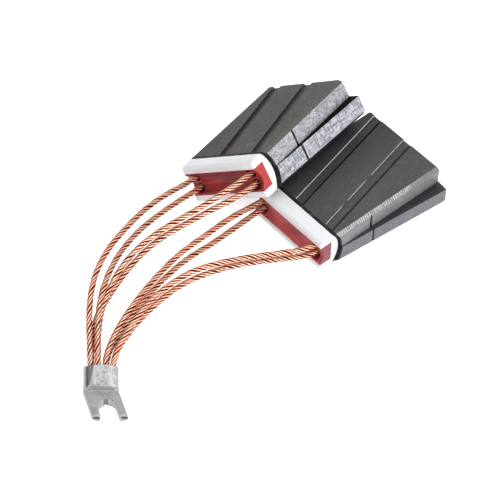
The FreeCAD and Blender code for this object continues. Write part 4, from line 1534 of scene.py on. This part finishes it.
@dataclass
class ForkTerminal:
    """The crimped terminal: a flattened tube whose end is an open fork.

    Its frame has X out to the tips, Y across and Z up, with the fold between barrel and fork at 0.
    """

    middle: Point = (27.93, -124.98, 2.0)
    yaw: float = -40.1
    fork_width: float = 13.4
    fork_length: float = 11.45
    fork_thickness: float = 4.0
    fork_round: float = 1.7
    fork_skew: float = 17.2
    slot_width: float = 6.6
    slot_root: float = 4.6
    seam_width: float = 1.35
    seam_depth: float = 0.5
    seam_shift: float = 0.45
    hollow_width: float = 2.5
    hollow_height: float = 1.5
    hollow_depth: float = 1.8
    barrel_width: float = 13.0
    barrel_height: float = 7.6
    barrel_wall: float = 0.7
    barrel_start: float = 2.6
    barrel_end: float = 9.4
    barrel_rise: float = 1.0
    barrel_bend: float = 31.0
    bore_depth: float = 6.4
    bundle_pitch: float = 2.55
    cut_reach: float = 6.0
    tip_round: float = 0.15
    # Width of the painted highlight band on the slot's wall.
    lit_wall_band: float = 0.16
    corner_steps: int = 8
    slot_steps: int = 32
    wrinkles: int = 46
    row_wrinkles: int = 9
    wrinkle_seed: int = 11
    wrinkle_length: float = 0.75
    wrinkle_width: float = 0.17
    raised_height: float = 0.13
    sunk_height: float = -0.1
    valley_left: float = -5.25
    valley_width: float = 1.0
    valley_spread: float = 1.85
    valley_depth: float = 1.35
    flat_depth: float = 0.3
    ring_across: float = 0.4
    ring_out: float = 3.6
    ring_radius: float = 0.45
    rope_line: float = 1.32
    rope_rise: float = 0.55
    rope_shift: float = -0.2
    rope_spread: float = 0.95
    swell: float = 0.6
    fold: Welt = Welt(1.95, 0.18, 0.1, (-4.4, -3.6), (2.8, 3.6))
    ridge: Welt = Welt(1.15, 0.28, 0.36, (-5.9, -5.2), (5.2, 6.2))
    ridge_shine: Welt = Welt(1.12, 0.25, 1.0, (-6.0, -5.4), (5.6, 6.2))
    # Painted shade along the crease between ridge and fold.
    crease_shade: Welt = Welt(1.58, 0.11, 0.4, (-4.4, -3.6), (5.2, 5.8))
    grid: float = 0.17

    def place(self) -> Matrix:
        """Give the terminal's frame in the row's frame."""
        return Matrix.Translation(Vector(self.middle) * MM) @ Matrix.Rotation(math.radians(self.yaw), 4, "Z")

    def lean(self, along: float) -> float:
        """Give how far the fork has drifted across at a distance from the fold.

        Args:
            along: The distance towards the tips.

        Returns:
            The drift along Y.
        """
        return max(0.0, along) * math.tan(math.radians(self.fork_skew))

    def ring(self, half_width: float, half_height: float, corner: float) -> list[Span]:
        """Give a rounded rectangle.

        Args:
            half_width: Half its width.
            half_height: Half its height.
            corner: Its corners' radius.

        Returns:
            Pairs of across and up, anticlockwise from the lower right corner.
        """
        corner = min(corner, half_height - 0.01, half_width - 0.01)
        made = []
        for quarter, (sign_x, sign_y) in enumerate(((1, -1), (1, 1), (-1, 1), (-1, -1))):
            centre = (sign_x * (half_width - corner), sign_y * (half_height - corner))
            for step in range(self.corner_steps + 1):
                angle = math.radians(-90 + 90 * quarter + 90 * step / self.corner_steps)
                made.append((centre[0] + corner * math.cos(angle), centre[1] + corner * math.sin(angle)))
        return made

    def section(self, out: float, half_width: float, half_height: float, corner: float,
                bend: float, rise: float) -> list[Point]:
        """Give one closed section of the tube.

        Args:
            out: How far back from the fold it lies, negative towards the tips.
            half_width: Half its width.
            half_height: Half its height.
            corner: Its corners' radius.
            bend: How far its plane is tilted back, in degrees.
            rise: How far its middle is lifted off the axis.

        Returns:
            Its points in millimetres.
        """
        tilt = math.radians(bend)
        axis = Vector((-math.cos(tilt), 0.0, math.sin(tilt)))
        up = Vector((math.sin(tilt), 0.0, math.cos(tilt)))
        middle = axis * out + up * rise
        drift = self.lean(-out)
        return [tuple(middle + Vector((0.0, across + drift, 0.0)) + up * height)
                for across, height in self.ring(half_width, half_height, corner)]

    def solid(self, name: str, sections: list[list[Point]]) -> Thing:
        """Join sections into a closed solid in metres.

        Args:
            name: Its name.
            sections: Its sections in millimetres.

        Returns:
            The object.
        """
        points, faces = Shaper.loft([[tuple(v * MM for v in p) for p in loop] for loop in sections])
        piece = Shaper.piece(name, points, faces, [], smooth=False)
        Shaper.crisp(piece)
        return piece

    def tube(self) -> Thing:
        """Make the outer form, from the tips to the barrel's mouth."""
        width, thick, bend = self.fork_width / 2, self.fork_thickness / 2, self.barrel_bend
        broad, tall, rise = self.barrel_width / 2, self.barrel_height / 2, self.barrel_rise
        less = self.tip_round
        plan = ((-self.fork_length, width - less, thick - less, self.fork_round, 0.0, 0.0),
                (-self.fork_length + 0.25, width, thick, self.fork_round, 0.0, 0.0),
                (-self.fork_length / 2, width, thick, self.fork_round, 0.0, 0.0),
                (-1.2, width, thick, self.fork_round, 0.0, 0.0),
                (-0.3, width, thick + 0.05, thick, bend * 0.2, 0.05),
                (0.6, width, thick + 0.3, thick + 0.3, bend * 0.7, 0.2),
                (1.6, width - 0.05, thick + 0.95, thick + 0.95, bend, 0.5),
                (self.barrel_start, broad, tall, tall, bend, rise),
                (self.barrel_end - 0.2, broad, tall, tall, bend, rise),
                (self.barrel_end, broad - less, tall - less, tall, bend, rise))
        return self.solid("terminal_tube", [self.section(*row) for row in plan])

    def cutters(self) -> list[Thing]:
        """Make the shapes of the bore, the slot, the seam and the hollows in the tips."""
        levels = (-self.cut_reach, self.cut_reach)
        wide, high = self.barrel_width / 2 - self.barrel_wall, self.barrel_height / 2 - self.barrel_wall
        bore = self.solid("bore_cutter", [
            self.section(out, wide, high, high, self.barrel_bend, self.barrel_rise)
            for out in (self.barrel_end - self.bore_depth, self.barrel_end + 2)])
        half, skew = self.slot_width / 2, math.radians(self.fork_skew)
        centre = (self.slot_root + half) / math.cos(skew)
        outline = [(self.fork_length + 6, -half), (self.fork_length + 6, half)]
        for step in range(self.slot_steps + 1):
            angle = math.pi / 2 + math.pi * step / self.slot_steps
            outline.append((centre + half * math.cos(angle), half * math.sin(angle)))
        leaning = [(x * math.cos(skew) - y * math.sin(skew), x * math.sin(skew) + y * math.cos(skew))
                   for x, y in outline]
        slot = self.solid("slot_cutter", [[(x, y, z) for x, y in leaning] for z in levels])
        middle = self.lean(self.slot_root) + self.seam_shift
        start, end = self.slot_root - self.seam_depth, self.slot_root + 1.5
        left, right = middle - self.seam_width / 2, middle + self.seam_width / 2
        corners = ((start, left), (end, left), (end, right), (start, right))
        seam = self.solid("seam_cutter", [[(x, y, z) for x, y in corners] for z in levels])
        made = [bore, slot, seam]
        for side in (-1, 1):
            across = (self.lean(self.fork_length)
                      + side * (self.fork_width + self.slot_width / math.cos(skew)) / 4)
            ring = self.ring(self.hollow_width / 2, self.hollow_height / 2, self.hollow_height / 2)
            made.append(self.solid(f"hollow_cutter_{side}", [
                [(x, across + y, z) for y, z in ring]
                for x in (self.fork_length - self.hollow_depth, self.fork_length + 2)]))
        return made

    def wrinkle(self, out: np.ndarray, across: np.ndarray) -> np.ndarray:
        """Give the crimp's wrinkles: one row of them, and the rest scattered.

        Args:
            out: The points' distances back from the fold.
            across: Their places across.

        Returns:
            How far each point is raised.
        """
        raised = np.zeros(len(out))
        rng = np.random.default_rng(self.wrinkle_seed)
        for number in range(self.wrinkles):
            here, far = rng.uniform(-2.2, 5.0), rng.uniform(2.4, 9.0)
            if number < self.row_wrinkles:
                here, far = 1.2 + 0.42 * number, 4.6 + 0.5 * math.sin(1.7 * number)
            turn = math.radians(rng.uniform(35, 65) if number % 3 else rng.uniform(95, 150))
            along = (across - here) * math.cos(turn) + (out - far) * math.sin(turn)
            beside = -(across - here) * math.sin(turn) + (out - far) * math.cos(turn)
            height = self.raised_height if number % 2 else self.sunk_height
            raised += height * bump(along, 0.0, self.wrinkle_length) * bump(beside, 0.0, self.wrinkle_width)
        return raised

    def crumple(self, piece: Thing) -> None:
        """Press the crimp into the barrel: a valley with a steep left wall, a wrinkled flat and a fold.

        Args:
            piece: The terminal, in its own frame.
        """
        tilt = math.radians(self.barrel_bend)
        axis = np.array((-math.cos(tilt), 0.0, math.sin(tilt)))
        up = np.array((math.sin(tilt), 0.0, math.cos(tilt)))
        top = self.barrel_height / 2
        flat_list = np.empty(len(piece.data.vertices) * 3)
        piece.data.vertices.foreach_get("co", flat_list)
        points = flat_list.reshape(-1, 3) / MM
        out, across = points @ axis, points[:, 1]
        rise = points @ up - self.barrel_rise
        upper = ramp(rise, 0.25 * top, 0.62 * top)
        run = ramp(out, 1.7, 2.5)
        reach = np.clip((out - 2.2) / (self.barrel_end - 2.2), 0.0, 1.0)
        left, edge = self.valley_left, self.valley_left + self.valley_width + self.valley_spread * reach
        share = np.clip((across - left) / (edge - left), 0.0, 1.0)
        valley = self.valley_depth * ramp(across, left - 0.35, left) * (1 - share) ** 0.6
        flat = self.flat_depth * window(across, (-3.0, -1.5), (4.9, 5.5))
        circle = np.hypot(across - self.ring_across, out - self.ring_out)
        ring = 0.2 * bump(circle, self.ring_radius, 0.16) - 0.1 * bump(circle, 0.0, 0.25)
        fold = self.fold.form(out, across)
        ropes = sum(bump(across, column * self.bundle_pitch + self.rope_shift, self.rope_spread)
                    for column in (-1.5, -0.5, 0.5, 1.5))
        sink = np.minimum(run * (valley + flat - self.wrinkle(out, across) + ring),
                          self.rope_line - self.rope_rise * np.clip(ropes, 0.0, 1.0))
        moved = points + (upper * (self.ridge.form(out, across) + fold - sink))[:, None] * up
        swell = self.swell * ramp(out, 6.0, self.barrel_end) * ramp(rise, -0.2, 0.4)
        moved += (swell * np.clip(1 - (across / 6.3) ** 2, 0.0, 1.0))[:, None] * axis
        moved[:, 2] = np.maximum(moved[:, 2], -self.middle[2])
        piece.data.vertices.foreach_set("co", (moved * MM).ravel())
        piece.data.update()
        # Painted shade, with a little grime: darker in the valley's sunk strip, at the ring, along the fold
        # and crease, and in the seam slit.
        sunk = ramp(across, left - 0.2, left + 0.05) * (1 - ramp(across, edge - 0.4, edge + 0.1))
        shade_and_grime = upper * run * (sunk + 0.7 * bump(circle, self.ring_radius, 0.2))
        shade_and_grime += upper * self.crease_shade.form(out, across)
        shade_and_grime += 0.25 * upper * bump(out, 0.45, 0.3)
        shade_and_grime += 0.35 * ramp(points[:, 2], 0.4, 1.2) * bump(points[:, 0], 0.9, 0.8) * ramp(-out, 0.1, 0.6)
        drift = self.lean(self.slot_root) + self.seam_shift
        seam = ((np.abs(across - drift) < self.seam_width / 2 + 0.05)
                & (np.abs(points[:, 0] - self.slot_root) < self.seam_depth + 0.1))
        shade_and_grime = np.where(seam, 1.0, shade_and_grime)
        # Lighter where this layer is high: the flat rubbed by the crimping tool, plus painted highlight on
        # the slot's wall, the ridge and the fold.
        wall = np.abs(self.from_slot(points[:, 0], across)) < self.lit_wall_band
        pressed = upper * run * window(across, (-1.8, 0.5), (5.0, 5.8))
        pressed += 0.75 * wall * (points[:, 0] < self.slot_root + self.slot_width / 2)
        pressed += 0.35 * upper * run * (1 - sunk)
        pressed += 2.0 * (upper * self.ridge_shine.form(out, across) + fold)
        Shaper.layer(piece, "shade_and_grime", np.clip(shade_and_grime, 0.0, 1.0))
        Shaper.layer(piece, "pressed", np.clip(pressed, 0.0, 2.0))

    def from_slot(self, along: np.ndarray, across: np.ndarray) -> np.ndarray:
        """Give how far points lie outside the slot's round root.

        Args:
            along: Their distances from the fold towards the tips.
            across: Their places across.

        Returns:
            The distances, negative inside the slot.
        """
        half, skew = self.slot_width / 2, math.radians(self.fork_skew)
        centre = (self.slot_root + half) / math.cos(skew)
        return np.hypot(along - centre * math.cos(skew), across - centre * math.sin(skew)) - half

    def build(self, finishes: Finishes) -> Thing:
        """Build and dress the terminal.

        Args:
            finishes: The set's finishes.

        Returns:
            The piece.
        """
        piece = self.tube()
        piece.name = "terminal_lug"
        Shaper.cut(piece, self.cutters())
        Shaper.modifier(piece, "REMESH", mode="VOXEL", voxel_size=self.grid * MM, use_smooth_shade=True)
        Shaper.modifier(piece, "SMOOTH", factor=0.5, iterations=2)
        self.crumple(piece)
        piece.data.materials.clear()
        piece.data.materials.append(finishes.tin)
        piece.data.polygons.foreach_set("use_smooth", [True] * len(piece.data.polygons))
        piece.data.transform(self.place())
        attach(piece, "root")
        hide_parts("terminal")
        LOG.info("%s: %d faces", piece.name, len(piece.data.polygons))
        return piece


# Flexibles


@dataclass
class Flexible:
    """One bare copper flexible: six strands laid round a core, along a smooth route.

    The route's points are the corners of the tube's route, in metres: its start in the plug, where it
    leaves the brush, its free stretch, and its end in the terminal's barrel.
    """

    name: str
    length: float
    route: tuple[Point, ...]
    seed: int
    diameter: float = 2.5 * MM
    strands: int = 6
    lay: float = 12.5 * MM
    swing_share: float = 0.625
    strand_share: float = 0.325
    core_share: float = 0.95
    broader: float = 1.08
    lay_drift: float = 0.35
    lay_drift_length: float = 23.0 * MM
    strand_drift: float = 0.12
    strand_drift_length: float = 7.0 * MM
    looseness: float = 0.05
    loose_length: float = 5.0 * MM
    step: float = 0.62 * MM
    sides: int = 10
    mouth: float = 0.79

    def centreline(self) -> np.ndarray:
        """Read evenly spaced points from the route's smooth spline."""
        data = bpy.data.curves.new(f"{self.name}_line", "CURVE")
        data.dimensions = "3D"
        data.resolution_u = 24
        spline = data.splines.new("NURBS")
        spline.points.add(len(self.route) - 1)
        for point, place in zip(spline.points, self.route):
            point.co = (*place, 1.0)
        spline.order_u = 3
        spline.use_endpoint_u = True
        holder = bpy.data.objects.new(f"{self.name}_line", data)
        bpy.context.scene.collection.objects.link(holder)
        bpy.context.view_layer.update()
        mesh = bpy.data.meshes.new_from_object(holder)
        line = np.array([tuple(vertex.co) for vertex in mesh.vertices])
        bpy.data.meshes.remove(mesh)
        bpy.data.objects.remove(holder)
        bpy.data.curves.remove(data)
        gone = np.concatenate(([0.0], np.cumsum(np.linalg.norm(np.diff(line, axis=0), axis=1))))
        wanted = np.linspace(0.0, gone[-1], int(round(gone[-1] / self.step)) + 1)
        return np.stack([np.interp(wanted, gone, line[:, axis]) for axis in range(3)], axis=1)

    @staticmethod
    def unit(rows: np.ndarray) -> np.ndarray:
        """Scale each row to a length of 1."""
        return rows / np.linalg.norm(rows, axis=1)[:, None]

    @staticmethod
    def frames(line: np.ndarray) -> tuple[np.ndarray, np.ndarray]:
        """Carry two directions across the line along it without twisting them.

        Args:
            line: The points.

        Returns:
            The two directions across.
        """
        tangents = Flexible.unit(np.gradient(line, axis=0))
        side = np.cross(tangents[0], (0.0, 0.0, 1.0))
        side /= np.linalg.norm(side)
        sides = [side]
        for tangent in tangents[1:]:
            side = side - tangent * np.dot(side, tangent)
            side /= np.linalg.norm(side)
            sides.append(side)
        across = np.array(sides)
        return across, np.cross(tangents, across)

    def strand(self, line: np.ndarray, number: int, radius: float,
               swing: float) -> tuple[np.ndarray, np.ndarray]:
        """Make one strand's rings.

        Args:
            line: The flexible's centreline.
            number: The strand's number, 0 for the core.
            radius: The strand's radius.
            swing: How far its middle lies from the centreline.

        Returns:
            The rings' points and each ring's distance along the flexible.
        """
        across, up = self.frames(line)
        gone = np.arange(len(line)) * self.step
        rng = np.random.default_rng(self.seed * 31 + number)
        phase = 2 * math.pi * number / self.strands + rng.uniform(-0.05, 0.05)
        angle = (phase + 2 * math.pi * gone / self.lay
                 + self.lay_drift * np.sin(gone / self.lay_drift_length + self.seed)
                 + self.strand_drift * np.sin(gone / self.strand_drift_length + 2.1 * number))
        outward = np.cos(angle)[:, None] * across + np.sin(angle)[:, None] * up
        loose = 1 + self.looseness * np.sin(gone / self.loose_length + 1.7 * number + self.seed)
        middle = line + (swing * loose)[:, None] * outward
        heading = self.unit(np.gradient(middle, axis=0))
        outward = self.unit(outward - heading * np.sum(outward * heading, axis=1)[:, None])
        beside = np.cross(heading, outward)
        turns = (2 * math.pi * np.arange(self.sides) / self.sides)[None, :, None]
        rings = (middle[:, None, :] + radius * (np.cos(turns) * outward[:, None, :]
                                                + self.broader * np.sin(turns) * beside[:, None, :]))
        return rings, gone

    def build(self, finishes: Finishes, terminal: Thing) -> Thing:
        """Args:
            finishes: The set's finishes.
            terminal: The terminal that it ends in; not used.

        Returns:
            The piece.
        """
        line = self.centreline()
        swing = self.diameter / 2 * self.swing_share
        radius = self.diameter / 2 * self.strand_share
        points: list[np.ndarray] = []
        faces: list[tuple] = []
        corners: list[Span] = []
        plans = [(0, radius * self.core_share, 0.0)]
        plans += [(number, radius, swing) for number in range(1, self.strands + 1)]
        count = self.sides
        for number, strand_radius, strand_swing in plans:
            rings, gone = self.strand(line, number, strand_radius, strand_swing)
            first = sum(len(block) for block in points)
            points.append(rings.reshape(-1, 3))
            for row in range(len(rings) - 1):
                for turn in range(count):
                    here, beyond = row * count + turn, row * count + (turn + 1) % count
                    faces.append((first + here, first + beyond, first + beyond + count, first + here + count))
                    u_low, u_high = gone[row] / MM, gone[row + 1] / MM
                    v_low, v_high = turn / count, (turn + 1) / count
                    corners += [(u_low, v_low), (u_low, v_high), (u_high, v_high), (u_high, v_low)]
            for ring, rising in ((0, False), (len(rings) - 1, True)):
                numbers = [first + ring * count + turn for turn in range(count)]
                faces.append(tuple(numbers if rising else reversed(numbers)))
                corners += [(0.0, 0.0)] * count
        piece = Shaper.piece(f"{self.name}_strands", np.concatenate(points), faces, [finishes.copper])
        wound = piece.data.uv_layers.new(name="wound")
        wound.data.foreach_set("uv", [value for corner in corners for value in corner])
        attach(piece, "root")
        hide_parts(self.name)
        LOG.info("%s: %d faces, %.1f mm", piece.name, len(piece.data.polygons),
                 (len(line) - 1) * self.step / MM)
        return piece


FLEXIBLES: tuple[tuple[str, float, tuple[Point, ...]], ...] = (
    ("flexible_a_1", 0.1194, (
        (-0.02378, -0.02766, 0.01329), (-0.02067, -0.04022, 0.01462), (-0.01990, -0.05410, 0.01790),
        (-0.01780, -0.06650, 0.02000), (-0.01430, -0.07920, 0.02130), (-0.01000, -0.09140, 0.02170),
        (-0.00460, -0.10120, 0.02080), (0.00190, -0.10870, 0.01880), (0.00890, -0.11500, 0.01570),
        (0.01850, -0.12204, 0.01015), (0.02441, -0.12701, 0.00552),
    )),
    ("flexible_a_2", 0.1201, (
        (-0.02109, -0.02415, 0.00930), (-0.01891, -0.03695, 0.00996), (-0.01760, -0.05010, 0.01250),
        (-0.01540, -0.06250, 0.01530), (-0.01200, -0.07530, 0.01820), (-0.00700, -0.08760, 0.02030),
        (-0.00110, -0.09830, 0.02070), (0.00520, -0.10670, 0.01910), (0.01180, -0.11320, 0.01580),
        (0.02015, -0.12009, 0.01015), (0.02605, -0.12506, 0.00552),
    )),
    ("flexible_a_3", 0.1197, (
        (-0.00039, -0.02005, 0.03046), (0.00272, -0.03260, 0.03179), (0.00260, -0.04390, 0.03120),
        (0.00140, -0.05370, 0.02960), (-0.00040, -0.06310, 0.02780), (-0.00230, -0.07270, 0.02560),
        (-0.00270, -0.08290, 0.02320), (-0.00060, -0.09320, 0.02030), (0.00370, -0.10270, 0.01720),
        (0.00970, -0.11110, 0.01370), (0.01912, -0.11923, 0.00792), (0.02502, -0.12420, 0.00329),
    )),
    ("flexible_a_4", 0.1198, (
        (0.00286, -0.01919, 0.02668), (0.00503, -0.03199, 0.02733), (0.00390, -0.04300, 0.02660),
        (0.00180, -0.05230, 0.02520), (-0.00040, -0.06140, 0.02320), (-0.00230, -0.07090, 0.02120),
        (-0.00250, -0.08060, 0.01890), (-0.00050, -0.09090, 0.01650), (0.00300, -0.10170, 0.01420),
        (0.00760, -0.11250, 0.01210), (0.01748, -0.12118, 0.00792), (0.02338, -0.12615, 0.00329),
    )),
    ("flexible_b_1", 0.1190, (
        (0.00206, -0.01234, 0.01050), (0.00206, -0.02534, 0.01050), (0.00130, -0.03790, 0.01210),
        (0.00270, -0.05210, 0.01340), (0.00410, -0.06580, 0.01520), (0.00710, -0.07870, 0.01610),
        (0.01050, -0.09050, 0.01630), (0.01400, -0.10130, 0.01540), (0.01780, -0.11070, 0.01330),
        (0.02179, -0.11814, 0.01015), (0.02769, -0.12311, 0.00552),
    )),
    ("flexible_b_2", 0.1203, (
        (0.00277, -0.00918, 0.00550), (0.00159, -0.02213, 0.00550), (0.00250, -0.03640, 0.00610),
        (0.00400, -0.05020, 0.00770), (0.00480, -0.06300, 0.01010), (0.00720, -0.07580, 0.01180),
        (0.01060, -0.08840, 0.01250), (0.01420, -0.09980, 0.01200), (0.01700, -0.10840, 0.01030),
        (0.02077, -0.11728, 0.00792), (0.02667, -0.12225, 0.00329),
    )),
    ("flexible_b_3", 0.1182, (
        (0.03206, -0.01234, 0.01050), (0.03206, -0.02534, 0.01050), (0.02710, -0.03740, 0.01290),
        (0.02220, -0.04850, 0.01470), (0.01810, -0.05930, 0.01620), (0.01520, -0.07060, 0.01740),
        (0.01470, -0.08240, 0.01750), (0.01600, -0.09330, 0.01670), (0.01870, -0.10320, 0.01480),
        (0.02343, -0.11619, 0.01015), (0.02933, -0.12116, 0.00552),
    )),
    ("flexible_b_4", 0.1171, (
        (0.03264, -0.01190, 0.00550), (0.03146, -0.02485, 0.00550), (0.02630, -0.03650, 0.00800),
        (0.02130, -0.04770, 0.00990), (0.01760, -0.05860, 0.01140), (0.01530, -0.06990, 0.01270),
        (0.01500, -0.08120, 0.01330), (0.01640, -0.09260, 0.01290), (0.01840, -0.10350, 0.01160),
        (0.02241, -0.11533, 0.00792), (0.02831, -0.12030, 0.00329),
    )),
)


def main() -> None:
    """Build the whole set in order."""
    logging.basicConfig(level=logging.INFO, format="%(message)s", stream=sys.stdout)
    PhotoCamera().build()
    Studio().build()
    finishes = Finishes()
    terminal = ForkTerminal().build(finishes)
    for seed, (name, length, route) in enumerate(FLEXIBLES):
        Flexible(name, length, route, seed).build(finishes, terminal)
    SplitBrush("a", (-14.31, -28.03, 26.76), (18.04, -34.91, -7.19)).build(finishes)
    SplitBrush("b", (17.06, -16.34, 16.0), (0.0, 0.0, 0.0)).build(finishes)


if __name__ == "__main__":
    main()
